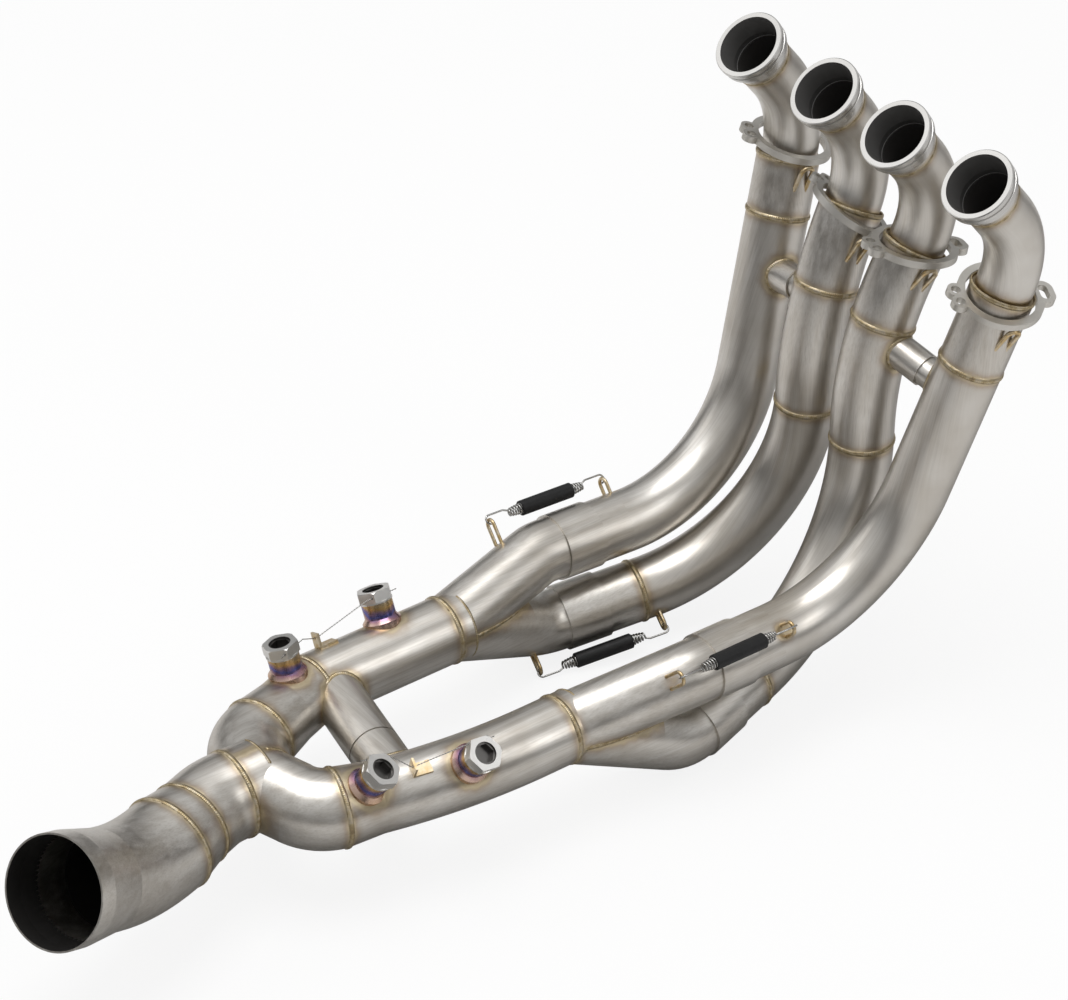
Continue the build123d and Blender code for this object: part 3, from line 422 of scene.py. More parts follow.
# Noises of the brushed steel: scale and detail of clouds and smears, fine and long scale of streaks
CLOUD = (22.0, 3.0)
SMEAR = (110.0, 4.0, 0.65)
SCRATCH = (1300.0, 30.0)
BAND = (260.0, 9.0)
HEAT_EDGE = (140.0, 3.0)
HEAT_EDGE_SHARE = 0.5
CLOUD_SHARE = 1.6
BAND_SHARE = 1.3
SCRATCH_START = 0.44
SCRATCH_SHARE = 1.2
STEEL_ROUGHNESS = 0.225
SMEAR_ROUGHNESS = 0.1
SCRATCH_ROUGHNESS = 0.1
BAND_ROUGHNESS = 0.3
BAND_START = 0.4
# Rougher, less metallic steel where shade is painted inside the elbows and the outlet
SHADED_INSIDE_ROUGHNESS = 0.25
SHADED_INSIDE_DULLNESS = 0.8
STREAK_DEPTH = (0.1, 0.0001)


def steel(finish, streaks, heats):
    """Brushed tube steel, tinted where it was welded."""
    cloud = finish.noise(*CLOUD)
    scratch = finish.brushed(streaks, *SCRATCH)
    band = finish.brushed(streaks, *BAND)
    smear = finish.noise(*SMEAR)
    tone = ((cloud - 0.5) * CLOUD_SHARE + (band - 0.5) * BAND_SHARE + 0.5).clamped()
    colour = finish.mix(tone, WARM_STEEL + (1,), COOL_STEEL + (1,))
    colour = finish.mix(((scratch - SCRATCH_START) * SCRATCH_SHARE).clamped(), colour, DULL_STEEL + (1,))
    rough = STEEL_ROUGHNESS + smear * SMEAR_ROUGHNESS + scratch * SCRATCH_ROUGHNESS
    rough = rough + (band - BAND_START).clamped() * BAND_ROUGHNESS
    if heats:
        nearest = heats[0]
        for heat in heats[1:]:
            nearest = nearest.least(heat)
        nearest = (nearest + (finish.noise(*HEAT_EDGE) - 0.5) * HEAT_EDGE_SHARE).clamped()
        share = finish.ramp(nearest, HEAT_SHARE)
        colour = finish.mix(share, colour, finish.ramp(nearest, HEAT_COLOURS))
    finish.bump(scratch + band, *STREAK_DEPTH)
    return colour, rough


def ring_heat(finish, centre, heading, radius):
    """0 at a weld round a tube, 1 at the edge of its halo and beyond."""
    off = finish.along(centre, heading).size() / HALO
    far = finish.number("DISTANCE", finish.place, centre) > radius + RING_MARGIN
    return off + far * OUT_OF_REACH


def spot_heat(finish, centre, radius, width):
    """0 within a welded foot, 1 at the edge of its halo and beyond."""
    return ((finish.number("DISTANCE", finish.place, centre) - radius) / width).most(0.0)


def bung_foot(number):
    """Where a bung stands on its tube."""
    point, heading, _ = BUNGS[number]
    return Vector(point) + Vector(heading).normalized() * TUBE_RADIUS


# How fine the scratches are along x, y and z: they follow the way that each tube runs
STREAKS = {
    "port_elbow": (1, 0, 0), "primary_neck": (1, 0.8, 0), "primary_middle": (1, 0.8, 0),
    "primary_bend": (1, 0, 0), "primary_slip_end": (1, 0, 1), "merge": (1, 0, 1), "secondary": (1, 0, 1),
    "lead": (1, 0, 1), "tail": (1, 0, 1), "outlet": (1, 0.1, 1), "link": (0, 1, 1), "crossover": (0, 1, 1),
    "final": (0.6, 0, 1),
}
BUNG_FEET = {
    "secondary_12": [bung_foot(0), bung_foot(1)], "lead_pipe_12": [bung_foot(1)],
    "secondary_34": [bung_foot(2), bung_foot(3)], "lead_pipe_34": [bung_foot(3)],
}
LINK_FEET = {
    "primary_bend_1": (-0.0792, 0.0099, -0.1714), "primary_neck_2": (-0.0513, 0.0063, -0.1655),
    "primary_middle_2": (-0.0513, 0.0063, -0.1655), "primary_neck_3": (0.0513, 0.0063, -0.1655),
    "primary_middle_3": (0.0513, 0.0063, -0.1655), "primary_bend_4": (0.0792, 0.0099, -0.1714),
    "primary_neck_4": (0.0792, 0.0099, -0.1714),
}
CROSSOVER_FEET = {
    "secondary_12": (-0.0432, -0.3954, -0.34), "lead_pipe_12": (-0.0432, -0.3954, -0.34),
    "secondary_34": (0.0326, -0.4096, -0.34), "lead_pipe_34": (0.0326, -0.4096, -0.34),
}
FORKED = ("final_merge", "merge_collector_12", "merge_collector_34")
MITRED = ("secondary_12", "lead_pipe_12")


def hook_feet(name):
    """Where the hooks of a tube's springs stand on it."""
    sides = {"merge_collector_12": (1, 2), "merge_collector_34": (3, 4)}
    if name in sides:
        ends = [(port, 0.0) for port in sides[name]]
    elif name.startswith(("primary_bend", "primary_slip_end")):
        ends = [(int(name[-1]), SPRING_REACH)]
    else:
        return []
    return [Vector(SPRINGS[port][0]) + Vector(SPRINGS[port][2]) * reach - Vector(SPRINGS[port][1]) * HOOK_RISE
            for port, reach in ends]


def heats_of(finish, name):
    """The heats of all the welds that a tube has."""
    heats = [ring_heat(finish, centre, heading, radius)
             for centre, heading, radius, owners in RING_WELDS if name in owners.split()]
    heats += [spot_heat(finish, foot, BUNG_FOOT_RADIUS, BUNG_HALO) for foot in BUNG_FEET.get(name, [])]
    heats += [spot_heat(finish, foot, HOOK_FOOT_RADIUS, HOOK_HALO) for foot in hook_feet(name)]
    if name in LINK_FEET:
        heats.append(spot_heat(finish, LINK_FEET[name], LINK_FOOT_RADIUS, FOOT_HALO))
    if name in CROSSOVER_FEET:
        heats.append(spot_heat(finish, CROSSOVER_FEET[name], CROSSOVER_FOOT_RADIUS, FOOT_HALO))
    if name in FORKED:
        for centre, first_way, second_way, _ in FORKS:
            plane = (Vector(first_way) - Vector(second_way)).normalized()
            heats.append(ring_heat(finish, centre, plane, FORK_HEAT_REACH))
    if name in MITRED:
        heats.append(ring_heat(finish, *MITRE_12))
    return heats


def inside_of(finish, name):
    """1 on the inside of a pipe whose mouth shows, where shade is painted, 0 elsewhere."""
    if name == "outlet_pipe":
        back = finish.along(OUTLET_MOUTH, OUTLET_HEADING)
        bore = OUTLET_BORE + (back - OUTLET_FLARE_START).least(0.0) * OUTLET_FLARE
        straight = finish.off_line(OUTLET_MOUTH, OUTLET_HEADING) < bore
        bent = finish.off_arc(*OUTLET_ARC) < OUTLET_BEND_BORE
        on_straight = back > OUTLET_BEND_END
        on_mouth = back < -OUTLET_LIP
        return (straight * on_straight).most(bent * (1 - on_straight)) * on_mouth
    x, centre, axis = PORTS[int(name[-1])]
    mouth = (x, 0, 0)
    deep = finish.along(mouth, PORT_HEADING)
    off = finish.off_line(mouth, PORT_HEADING)
    if name.startswith("port_collar"):
        return (off < (COLLAR_MOUTH_BORE - deep * COLLAR_TAPER).most(COLLAR_BORE)) * (deep > COLLAR_RIM)
    straight = off < ELBOW_BORE
    bent = finish.off_arc(centre, axis, ELBOW_BEND) < ELBOW_BORE
    early = deep < ELBOW_START
    return (straight * early).most(bent * (1 - early))


def tube_finish(name):
    """Brushed steel with the heats of the tube's own welds, and painted shade inside where an open mouth
    shows.
    """
    finish = Finish(f"tube_{name}")
    streaks = next(axes for start, axes in STREAKS.items() if name.startswith(start))
    colour, rough = steel(finish, streaks, heats_of(finish, name))
    metal = 1.0
    # Painted shade: the inside seen through an open mouth is darkened, rougher and less metallic
    if name.startswith("port_elbow") or name == "outlet_pipe":
        inside = inside_of(finish, name)
        colour = finish.mix(inside, colour, (OUTLET_INSIDE_SHADE if name == "outlet_pipe" else ELBOW_INSIDE_SHADE) + (1,))
        rough = rough + inside * SHADED_INSIDE_ROUGHNESS
        metal = 1 - inside * SHADED_INSIDE_DULLNESS
    finish.set(Base_Color=colour, Roughness=rough, Metallic=metal)
    return finish.material


# The turned collars: colours, places along the collar, and the marks of the lathe
COLLAR_DARK = (0.50, 0.49, 0.475)
COLLAR_BRIGHT = (0.66, 0.65, 0.63)
# Painted shade on the taper inside the collar
COLLAR_INSIDE_SHADE = (0.19, 0.185, 0.18)
# Painted highlight: a thin bright ring at the joint inside the collar
COLLAR_SEAM_HIGHLIGHT = (0.75, 0.74, 0.72)
COLLAR_TINT = (0.52, 0.39, 0.20)
COLLAR_TINT_SHARE = 0.8
COLLAR_WELD_PLACE = 0.020
COLLAR_WELD_HALO = 0.006
COLLAR_SEAM_PLACE = 0.0195
COLLAR_SEAM_WIDTH = 0.0005
COLLAR_NOISE = 30.0
COLLAR_ROUGHNESS = 0.22
LATHE_MARKS = {"Scale": 420.0, "Distortion": 0.4, "Detail": 2.0}
LATHE_WAVER = 0.0004
LATHE_ROUGHNESS = 0.1
LATHE_DEPTH = (0.08, 0.0001)
TAPER_ROUGHNESS = 0.12
TAPER_DULLNESS = 0.35


def collar_finish(name):
    """Lathe-turned rings, bright, with painted shade on the taper inside and a thin painted highlight ring at
    the joint inside.
    """
    finish = Finish(f"collar_{name}")
    deep = finish.along((PORTS[int(name[-1])][0], 0, 0), PORT_HEADING)
    inside = inside_of(finish, name)
    waver = finish.noise(COLLAR_NOISE) * LATHE_WAVER
    place = finish.node("ShaderNodeCombineXYZ", None, {"X": deep, "Y": waver}).outputs[0]
    lathe = finish.node("ShaderNodeTexWave", {"wave_type": "BANDS", "bands_direction": "X"},
                        {"Vector": place, **LATHE_MARKS})
    lines = Value(finish, lathe.outputs["Fac"])
    colour = finish.mix(finish.noise(COLLAR_NOISE), COLLAR_DARK + (1,), COLLAR_BRIGHT + (1,))
    weld = (1 - ((COLLAR_WELD_PLACE - deep).size() / COLLAR_WELD_HALO).clamped()) * (1 - inside)
    colour = finish.mix(weld * COLLAR_TINT_SHARE, colour, COLLAR_TINT + (1,))
    # Painted highlight: a thin bright ring at the joint inside the collar, drawn over the painted shade
    seam_highlight = inside * ((COLLAR_SEAM_PLACE - deep).size() < COLLAR_SEAM_WIDTH)
    # Painted shade darkens the taper inside the collar
    colour = finish.mix(inside, colour, COLLAR_INSIDE_SHADE + (1,))
    colour = finish.mix(seam_highlight, colour, COLLAR_SEAM_HIGHLIGHT + (1,))
    finish.set(Base_Color=colour, Metallic=1 - inside * TAPER_DULLNESS,
               Roughness=COLLAR_ROUGHNESS + lines * LATHE_ROUGHNESS + inside * TAPER_ROUGHNESS)
    finish.bump(lines, *LATHE_DEPTH)
    return finish.material


# The other looks: the colours of their patches, the patches' scale and detail, the roughness, the
# noises that make it uneven and the noises of the relief (scale, detail, amount), and the strength
# and depth of the relief
LOOKS = {
    "plate": {
        "colours": [(0.0, (0.50, 0.48, 0.44)), (1.0, (0.68, 0.66, 0.62))], "patches": (60.0, 4.0),
        "rough": 0.34, "uneven": [(1400.0, 2.0, 0.12), (45.0, 3.0, 0.1)],
        "relief": [(1400.0, 2.0, 1.0)], "depth": (0.15, 0.0002),
    },
    "machined": {
        "colours": [(0.0, (0.70, 0.69, 0.67)), (1.0, (0.812, 0.8004, 0.7772))], "patches": (260.0, 3.0),
        "rough": 0.2, "uneven": [(1600.0, 2.0, 0.14), (80.0, 3.0, 0.08)],
        "relief": [(1600.0, 2.0, 1.0)], "depth": (0.12, 0.0001),
    },
    "drawn": {
        "colours": [(0.0, (0.62, 0.61, 0.59)), (1.0, (0.7192, 0.7076, 0.6844))], "patches": (260.0, 3.0),
        "rough": 0.2, "uneven": [(1600.0, 2.0, 0.14), (80.0, 3.0, 0.08)],
        "relief": [(1600.0, 2.0, 1.0)], "depth": (0.12, 0.0001),
    },
    "straw": {
        "colours": [(0.1154, (0.30, 0.21, 0.12)), (0.3846, (0.55, 0.40, 0.20)),
                    (0.5769, (0.62, 0.52, 0.36)), (0.8846, (0.62, 0.58, 0.53))],
        "patches": (170.0, 3.0), "rough": 0.24, "uneven": [(300.0, 3.0, 0.16)],
        "relief": [(1100.0, 2.0, 1.0)], "depth": (0.15, 0.0002),
    },
    "weld_bead": {
        "colours": [(0.25, (0.24, 0.18, 0.11)), (0.45, (0.40, 0.32, 0.19)),
                    (0.6, (0.50, 0.43, 0.31)), (0.8, (0.42, 0.37, 0.31))],
        "patches": (210.0, 3.0), "rough": 0.26, "uneven": [(500.0, 3.0, 0.2)],
        "relief": [(1500.0, 2.0, 1.0)], "depth": (0.15, 0.0002),
    },
    "silicone": {
        "colours": [(0.0, (0.005, 0.005, 0.0055)), (1.0, (0.014, 0.014, 0.0145))], "patches": (130.0, 4.0),
        "rough": 0.42, "uneven": [(700.0, 3.0, 0.16)],
        "relief": [(700.0, 3.0, 1.0), (160.0, 3.0, 2.0)], "depth": (0.25, 0.0005),
        "metal": 0.0, "shine": 0.3,
    },
    "spring_wire": {
        "colours": [(0.0, (0.34, 0.335, 0.325)), (1.0, (0.48, 0.475, 0.46))], "patches": (180.0, 3.0),
        "rough": 0.18, "uneven": [(900.0, 3.0, 0.14)],
        "relief": [(2000.0, 2.0, 1.0)], "depth": (0.1, 0.0001),
    },
    "bung": {
        "colours": [(0.0, (0.55, 0.38, 0.27)), (0.16, (0.60, 0.43, 0.36)), (0.3, (0.36, 0.20, 0.24)),
                    (0.46, (0.12, 0.14, 0.42)), (0.6, (0.30, 0.20, 0.30)), (0.74, (0.62, 0.40, 0.16)),
                    (1.0, (0.58, 0.46, 0.30))],
        "patches": (120.0, 3.0), "rough": 0.2, "uneven": [(200.0, 3.0, 0.14)],
        "relief": [(900.0, 2.0, 1.0)], "depth": (0.1, 0.0002),
    },
}
LOOKS_BY_NAME = {
    "head_flange": "plate", "plug_washers": "machined", "spring_sleeve": "silicone", "spring_hooks": "straw",
    "wire_tabs": "straw", "flange_stop": "straw", "spring_": "drawn", "lock_wires": "drawn",
}
BUNG_TINT_START = 0.0235
BUNG_TINT_LENGTH = 0.0165
BUNG_TINT_UNEVEN = 0.35
# Painted shade inside the sockets of the bung plugs
SOCKET_SHADE = (0.14, 0.135, 0.13)


def plain_finish(name, look):
    """One of the looks, with nothing that depends on the place on the piece."""
    finish = Finish(name)
    return finish.surfaced(look, finish.ramp(finish.noise(*look["patches"]), look["colours"]))


def bung_finish():
    """Turned steel, blue and gold from its welding."""
    finish, look = Finish("heated_bung"), LOOKS["bung"]
    off = finish.off_line(BUNGS[0][0], BUNGS[0][2])
    for point, _, tube in BUNGS[1:]:
        off = off.least(finish.off_line(point, tube))
    waver = (finish.noise(*look["patches"]) - 0.5) * BUNG_TINT_UNEVEN
    height = ((off - BUNG_TINT_START) / BUNG_TINT_LENGTH + waver).clamped()
    return finish.surfaced(look, finish.ramp(height, look["colours"]))


def plug_finish():
    """Machined steel; painted shade darkens the inside of the plugs' sockets."""
    finish, look = Finish("machined_bung_plugs"), LOOKS["machined"]
    colour = finish.ramp(finish.noise(*look["patches"]), look["colours"])
    for point, heading, _ in BUNGS:
        heading = Vector(heading).normalized()
        # Painted shade in each plug's socket recess
        socket = finish.off_line(point, heading) < PLUG_SOCKET_RADIUS
        socket = socket * (finish.along(point, heading) < PLUG_FACE)
        colour = finish.mix(socket, colour, SOCKET_SHADE + (1,))
    return finish.surfaced(look, colour)


def finish_of(name):
    """The material of a node, by its name."""
    if name.startswith("port_collar"):
        return collar_finish(name)
    if name == "sensor_bungs":
        return bung_finish()
    if name == "bung_plugs":
        return plug_finish()
    for start, look in LOOKS_BY_NAME.items():
        if name.startswith(start):
            return plain_finish(f"{look}_{name}", LOOKS[look])
    return tube_finish(name)


for node_name, node_object in nodes.items():
    node_object.data.materials.clear()
    node_object.data.materials.append(finish_of(node_name))


# Pieces made from lines
def curve_of(name, lines, radius, sides):
    """One curve object whose splines follow the given lines of points."""
    data = bpy.data.curves.new(name, "CURVE")
    data.dimensions = "3D"
    data.bevel_depth = radius
    data.bevel_resolution = sides
    data.use_fill_caps = True
    for line in lines:
        spline = data.splines.new("POLY")
        spline.points.add(len(line) - 1)
        for point, place in zip(spline.points, line):
            point.co = tuple(place) + (1.0,)
    made = bpy.data.objects.new(name, data)
    scene.collection.objects.link(made)
    return made


def as_mesh(source, name, material):
    """The plain mesh of an object, in a new object at the origin."""
    graph = bpy.context.evaluated_depsgraph_get()
    mesh = bpy.data.meshes.new_from_object(source.evaluated_get(graph), depsgraph=graph)
    mesh.name = name
    bpy.data.objects.remove(source)
    mesh.materials.clear()
    mesh.materials.append(material)
    for face in mesh.polygons:
        face.use_smooth = True
    made = bpy.data.objects.new(name, mesh)
    scene.collection.objects.link(made)
    return made


# Weld beads
RIPPLE_SPACING = 0.0014
RIPPLE_HALF_LENGTH = 0.0016
RIPPLE_UNEVENNESS = 0.12
RIPPLE_SEED = 4
RIPPLE_SEGMENTS = 8
RIPPLE_RINGS = 5
BEAD_HEIGHT = 0.0011
BEAD_HALF_WIDTH = 0.0021
RING_POINTS = 96
FORK_POINTS = 120
NOSE_POINTS = 144
FORK_LEAN = 0.4
FORK_START = 0.004
FORWARD = Vector((0, 1, 0))


def square_pair(heading):
    """A direction made one long, and two that are square to it."""
    heading = Vector(heading).normalized()
    first = heading.orthogonal().normalized()
    return heading, first, heading.cross(first)


def ring_line(centre, heading, radius, count=RING_POINTS):
    """Points round a tube, each with the direction away from the tube."""
    _, first, second = square_pair(heading)
    line = []
    for k in range(count):
        angle = 2 * math.pi * k / count
        out = first * math.cos(angle) + second * math.sin(angle)
        line.append((Vector(centre) + out * radius, out))
    return line


def on_plane_line(centre, heading, radius, normal, count=RING_POINTS):
    """Where a tube meets a plane through a point of its axis."""
    heading, normal = Vector(heading).normalized(), Vector(normal).normalized()
    line = []
    for place, out in ring_line(centre, heading, radius, count):
        line.append((place - heading * (radius * out.dot(normal) / heading.dot(normal)), out))
    return line


def on_tube_line(point, heading, radius, axis_point, axis, axis_radius):
    """Where a small tube runs into the side of a larger one."""
    heading, axis = Vector(heading).normalized(), Vector(axis).normalized()
    line = []
    for start, out in ring_line(point, heading, radius):
        off = start - Vector(axis_point)
        flat = off - axis * off.dot(axis)
        run = heading - axis * heading.dot(axis)
        b, c = flat.dot(run), flat.dot(flat) - axis_radius ** 2
        reach = (-b - math.sqrt(b * b - run.dot(run) * c)) / run.dot(run)
        foot = flat + run * reach
        line.append((start + heading * reach, (out + foot.normalized()).normalized()))
    return line


def fork_line(centre, first_way, second_way, radius):
    """The saddle between two tubes of one size that flow together, from side to side."""
    first_way, second_way = Vector(first_way).normalized(), Vector(second_way).normalized()
    trunk = (first_way + second_way).normalized()
    line = on_plane_line(centre, first_way, radius, first_way - second_way, FORK_POINTS)
    back = [(place - Vector(centre)).dot(trunk) for place, _ in line]
    start = back.index(max(back))
    kept = []
    for place, out in line[start:] + line[:start]:
        if (place - Vector(centre)).dot(trunk) < -FORK_START:
            other = out - second_way * out.dot(second_way)
            kept.append((place, (out + other.normalized() - trunk * FORK_LEAN).normalized()))
    return kept


def nose_lines(fork, nose_end, nose_radius):
    """The edge of a nose over its two tubes, in runs that lie outside both tubes."""
    centre, first_way, second_way, radius = fork
    ways = [Vector(first_way).normalized(), Vector(second_way).normalized()]
    ring = ring_line(nose_end, FORWARD, nose_radius - NOSE_BEAD_INSET, NOSE_POINTS)
    bare = []
    for place, _ in ring:
        offs = [(place - Vector(centre)).cross(way).length for way in ways]
        bare.append(min(offs) > radius - NOSE_BEAD_DEPTH)
    if all(bare):
        return [[(place, (out + FORWARD).normalized()) for place, out in ring]], [True]
    first = bare.index(False)
    runs, run = [], []
    for k in range(first, first + NOSE_POINTS + 1):
        place, out = ring[k % NOSE_POINTS]
        if bare[k % NOSE_POINTS]:
            run.append((place, (out + FORWARD).normalized()))
        elif run:
            runs.append(run)
            run = []
    return runs, [False] * len(runs)


def bead_tree():
    """Overlapping flat ripples along every line, square to the steel that they lie on."""
    tree = bpy.data.node_groups.new("weld_ripples", "GeometryNodeTree")
    tree.interface.new_socket("Geometry", in_out="INPUT", socket_type="NodeSocketGeometry")
    for name in ("Spacing", "Half length", "Half width", "Height", "Unevenness"):
        tree.interface.new_socket(name, in_out="INPUT", socket_type="NodeSocketFloat")
    tree.interface.new_socket("Finish", in_out="INPUT", socket_type="NodeSocketMaterial")
    tree.interface.new_socket("Geometry", in_out="OUTPUT", socket_type="NodeSocketGeometry")
    made = {}
    for key, kind in (("in", "NodeGroupInput"), ("line", "GeometryNodeMeshToCurve"),
                      ("points", "GeometryNodeCurveToPoints"), ("away", "GeometryNodeInputNamedAttribute"),
                      ("turn", "FunctionNodeAxesToRotation"), ("ball", "GeometryNodeMeshUVSphere"),
                      ("shape", "ShaderNodeCombineXYZ"), ("low", "ShaderNodeMath"),
                      ("size", "FunctionNodeRandomValue"), ("uneven", "ShaderNodeVectorMath"),
                      ("place", "GeometryNodeInstanceOnPoints"), ("real", "GeometryNodeRealizeInstances"),
                      ("paint", "GeometryNodeSetMaterial"), ("out", "NodeGroupOutput")):
        made[key] = tree.nodes.new(kind)
    made["points"].mode = "LENGTH"
    made["away"].data_type = "FLOAT_VECTOR"
    made["away"].inputs["Name"].default_value = "away"
    made["turn"].primary_axis, made["turn"].secondary_axis = "Z", "X"
    made["ball"].inputs["Segments"].default_value = RIPPLE_SEGMENTS
    made["ball"].inputs["Rings"].default_value = RIPPLE_RINGS
    made["ball"].inputs["Radius"].default_value = 1.0
    made["size"].data_type = "FLOAT"
    made["size"].inputs["Seed"].default_value = RIPPLE_SEED
    made["size"].inputs[3].default_value = 1.0
    made["low"].operation = "SUBTRACT"
    made["low"].inputs[0].default_value = 1.0
    made["uneven"].operation = "SCALE"
    for source, out, target, into in (
        ("in", "Geometry", "line", "Mesh"), ("line", 0, "points", "Curve"),
        ("in", "Spacing", "points", "Length"), ("points", "Tangent", "turn", 0), ("away", 0, "turn", 1),
        ("in", "Unevenness", "low", 1), ("low", 0, "size", 2), ("in", "Height", "shape", "X"),
        ("in", "Half width", "shape", "Y"), ("in", "Half length", "shape", "Z"),
        ("shape", 0, "uneven", 0), ("size", 1, "uneven", 3), ("points", "Points", "place", "Points"),
        ("turn", 0, "place", "Rotation"), ("ball", "Mesh", "place", "Instance"),
        ("uneven", 0, "place", "Scale"), ("place", 0, "real", 0), ("real", 0, "paint", "Geometry"),
        ("in", "Finish", "paint", "Material"), ("paint", 0, "out", 0),
    ):
        tree.links.new(made[source].outputs[out], made[target].inputs[into])
    return tree


def edge_mesh(name, lines, closed):
    """Edges along the lines, each point keeping its direction away from the steel."""
    points, aways, edges = [], [], []
    for line, round_trip in zip(lines, closed):
        first = len(points)
        points += [place for place, _ in line]
        aways += [out for _, out in line]
        edges += [(k, k + 1) for k in range(first, len(points) - 1)]
        if round_trip:
            edges.append((len(points) - 1, first))
    mesh = bpy.data.meshes.new(name)
    mesh.from_pydata(points, edges, [])
    store = mesh.attributes.new("away", "FLOAT_VECTOR", "POINT")
    store.data.foreach_set("vector", [number for out in aways for number in out])
    made = bpy.data.objects.new(name, mesh)
    scene.collection.objects.link(made)
    return made


BEAD_TREE = bead_tree()
WELD_FINISH = plain_finish("weld_bead", LOOKS["weld_bead"])


def weld_beads(name, lines, closed):
    """One piece with a rippled bead along each line."""
    source = edge_mesh(f"{name}_lines", lines, closed)
    modifier = source.modifiers.new("ripples", "NODES")
    modifier.node_group = BEAD_TREE
    values = {"Spacing": RIPPLE_SPACING, "Half length": RIPPLE_HALF_LENGTH, "Half width": BEAD_HALF_WIDTH,
              "Height": BEAD_HEIGHT, "Unevenness": RIPPLE_UNEVENNESS, "Finish": WELD_FINISH}
    for item in BEAD_TREE.interface.items_tree:
        if item.in_out == "INPUT" and item.name in values:
            modifier[item.identifier] = values[item.name]
    beads = as_mesh(source, name, WELD_FINISH)
    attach(beads, "root")


def make_welds():
    """Two pieces of beads: one for the ports and primaries, one for all behind them."""
    high = [ring for ring in RING_WELDS if ring[3].split()[0].startswith(("port", "primary"))]
    low = [ring for ring in RING_WELDS if ring not in high]
    branches = {name: on_tube_line(*tubes) for name, tubes in BRANCH_WELDS.items()}
    lines = [ring_line(*ring[:3]) for ring in high]
    lines += [line for name, line in branches.items() if name.startswith("link")]
    weld_beads("port_and_primary_welds", lines, [True] * len(lines))
    lines = [ring_line(*ring[:3]) for ring in low]
    lines.append(on_plane_line(MITRE_12[0], SECONDARY_AXIS, MITRE_12[2], MITRE_12[1]))
    lines += [line for name, line in branches.items() if name.startswith("crossover")]
    closed = [True] * len(lines)
    for fork, nose in zip(FORKS, NOSES):
        runs, round_trips = nose_lines(fork, *nose)
        lines += runs
        closed += round_trips
    forks = [fork_line(*fork) for fork in FORKS]
    weld_beads("collector_and_tail_welds", lines + forks, closed + [False] * len(forks))


make_welds()


# Springs
def coil_points():
    """The coil from end to end, narrow at both ends: steps away from the tube, across and along."""
    turns = int((SPRING_BODY - 2 * COIL_TAPER) / (2 * WIRE_RADIUS * TURN_SLACK))
    total = turns + 2 * TAPER_TURNS
    start = (SPRING_REACH - SPRING_BODY) / 2
    points = []
    for k in range(total * TURN_STEPS + 1):
        turn = k / TURN_STEPS
        share = min(1.0, turn / TAPER_TURNS, (total - turn) / TAPER_TURNS)
        radius = COIL_RADIUS * (COIL_NECK + (1 - COIL_NECK) * share ** 0.5)
        if turn < TAPER_TURNS:
            height = COIL_TAPER * share
        elif turn > TAPER_TURNS + turns:
            height = SPRING_BODY - COIL_TAPER * share
        else:
            height = COIL_TAPER + (turn - TAPER_TURNS) / turns * (SPRING_BODY - 2 * COIL_TAPER)
        angle = 2 * math.pi * turn
        points.append((radius * math.cos(angle), radius * math.sin(angle), start + height))
    return points


def hook_points(side):
    """The shank and the hook at one end of a spring: side is -1 or 1."""
    middle, half = SPRING_REACH / 2, SPRING_BODY / 2
    centre = middle + side * (middle - HOOK_RADIUS + HOOK_ROD / 2 + WIRE_RADIUS + HOOK_GAP)
    points = [(COIL_RADIUS * COIL_END, 0, middle + side * (half + SHANK_START)),
              (HOOK_RADIUS, 0, middle + side * (half + SHANK_END))]
    for k in range(HOOK_STEPS + 1):
        angle = math.pi * k / HOOK_STEPS
        points.append((HOOK_RADIUS * math.cos(angle), 0, centre + side * HOOK_RADIUS * math.sin(angle)))
    return points


SPRING_FINISH = plain_finish("spring_wire", LOOKS["spring_wire"])


def make_springs():
    """Each spring is one wire: hook, shank, tapering coils, close coils, and the same again."""
    points = hook_points(-1)[::-1] + coil_points() + hook_points(1)
    for port, (origin, away, along) in SPRINGS.items():
        origin, away, along = Vector(origin), Vector(away).normalized(), Vector(along).normalized()
        across = along.cross(away)
        line = [origin + away * x + across * y + along * z for x, y, z in points]
        wire = curve_of(f"spring_line_{port}", [line], WIRE_RADIUS, WIRE_SIDES)
        spring = as_mesh(wire, f"coil_spring_{port}", SPRING_FINISH)
        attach(spring, "root")
        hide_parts(f"spring_{port}")


make_springs()


# Lock wires
def twisted(corners, phase):
    """A strand that winds round a path of corners."""
    corners = [Vector(corner) for corner in corners]
    line, run = [], 0.0
    for start, end in zip(corners, corners[1:]):
        heading, first, second = square_pair(end - start)
        length = (end - start).length
        steps = max(2, int(length / STRAND_STEP))
        for k in range(steps):
            place = length * k / steps
            angle = 2 * math.pi * (run + place) / STRAND_PITCH + phase
            off = (first * math.cos(angle) + second * math.sin(angle)) * STRAND_OFFSET
            line.append(start + heading * place + off)
        run += length
    return line


def make_lock_wires():
    """Two twisted strands along each lock wire."""
    strands = [twisted(path, phase) for path in WIRE_PATHS for phase in (0.0, math.pi)]
    lines = curve_of("lock_wire_lines", strands, STRAND_RADIUS, STRAND_SIDES)
    wires = as_mesh(lines, "twisted_lock_wires", SPRING_FINISH)
    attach(wires, "root")
    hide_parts("lock_wires")


make_lock_wires()

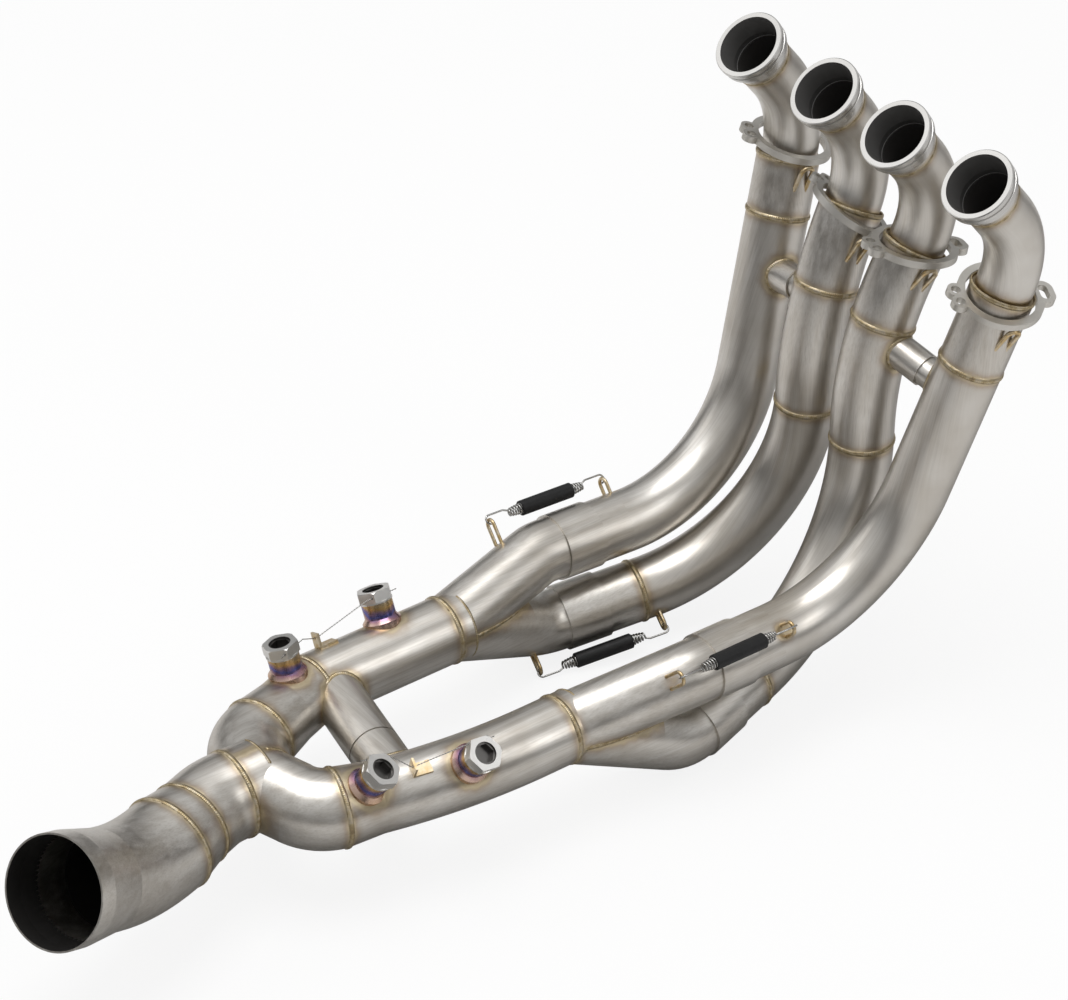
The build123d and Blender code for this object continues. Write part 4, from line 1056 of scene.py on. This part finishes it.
# Floor, world and lamps
FLOOR_HALF = 6
FLOOR_GAP = 0.0006
FLOOR_COLOUR = (0.86, 0.86, 0.855)
FLOOR_REFLECTED = [(0.08, (0.34, 0.335, 0.33)), (0.26, (0.80, 0.79, 0.78))]
FLOOR_ROUGHNESS = 0.9
FLOOR_WHITENESS = 0.86
ROOM_TONES = [(0.0, (0.05,) * 3), (0.16, (0.07,) * 3), (0.45, (0.55,) * 3), (1.0, (0.66,) * 3)]
LAMP_TARGET = (0.0, -0.3, -0.2)
LAMPS = {
    "overhead": ((-0.2, -0.4, 2.2), (1.8, 1.3), 32),
    "left_side": ((-1.65, -1.35, 1.35), (1.5, 1.9), 7),
    "right_side": ((2.1, 0.9, 1.2), (0.5, 1.6), 9),
}


def floor_finish():
    """White but for a faint shadow, and plainer and darker in the steel's reflections."""
    finish = Finish("pale_floor")
    path = finish.node("ShaderNodeLightPath")
    split = finish.node("ShaderNodeSeparateXYZ", None, {0: finish.place})
    beside = Value(finish, split.outputs["X"]).size()
    reflected = finish.ramp(beside, FLOOR_REFLECTED)
    colour = finish.mix(path.outputs["Is Glossy Ray"], FLOOR_COLOUR + (1,), reflected)
    finish.set(Base_Color=colour, Roughness=FLOOR_ROUGHNESS)
    glow = finish.node("ShaderNodeEmission", None, {"Color": WHITE + (1,)})
    share = Value(finish, path.outputs["Is Camera Ray"]) * FLOOR_WHITENESS
    shaders = {0: share, 1: finish.shader.outputs[0], 2: glow.outputs[0]}
    mixed = finish.node("ShaderNodeMixShader", None, shaders)
    finish.feed(finish.output.inputs["Surface"], mixed.outputs[0])
    return finish.material


def make_floor():
    """A wide table just under the lowest tube."""
    z = cad_box[0].z - FLOOR_GAP
    corners = [(x * FLOOR_HALF, y * FLOOR_HALF, z) for x, y in ((-1, -1), (1, -1), (1, 1), (-1, 1))]
    mesh = bpy.data.meshes.new("floor")
    mesh.from_pydata(corners, [], [(0, 1, 2, 3)])
    mesh.materials.append(floor_finish())
    floor = bpy.data.objects.new("floor", mesh)
    scene.collection.objects.link(floor)


def make_world():
    """White behind the object; round it a soft grey room, dark at the height of the table."""
    scene.world = bpy.data.worlds.new("studio")
    scene.world.use_nodes = True
    room = Nodes(scene.world.node_tree)
    place = room.node("ShaderNodeTexCoord")
    split = room.node("ShaderNodeSeparateXYZ", None, {0: place.outputs["Generated"]})
    path = room.node("ShaderNodeLightPath")
    tone = room.ramp(split.outputs["Z"], ROOM_TONES)
    colour = room.mix(path.outputs["Is Camera Ray"], tone, WHITE + (1,))
    room.feed(room.tree.nodes["Background"].inputs["Color"], colour)


def make_lamps():
    """Soft boxes that all face the middle of the header."""
    for name, (place, size, power) in LAMPS.items():
        data = bpy.data.lights.new(name, "AREA")
        data.shape = "RECTANGLE"
        data.size, data.size_y = size
        data.energy = power
        light = bpy.data.objects.new(name, data)
        light.location = place
        light.rotation_mode = "QUATERNION"
        light.rotation_quaternion = (Vector(LAMP_TARGET) - Vector(place)).to_track_quat("-Z", "Y")
        scene.collection.objects.link(light)


make_floor()
make_world()
make_lamps()
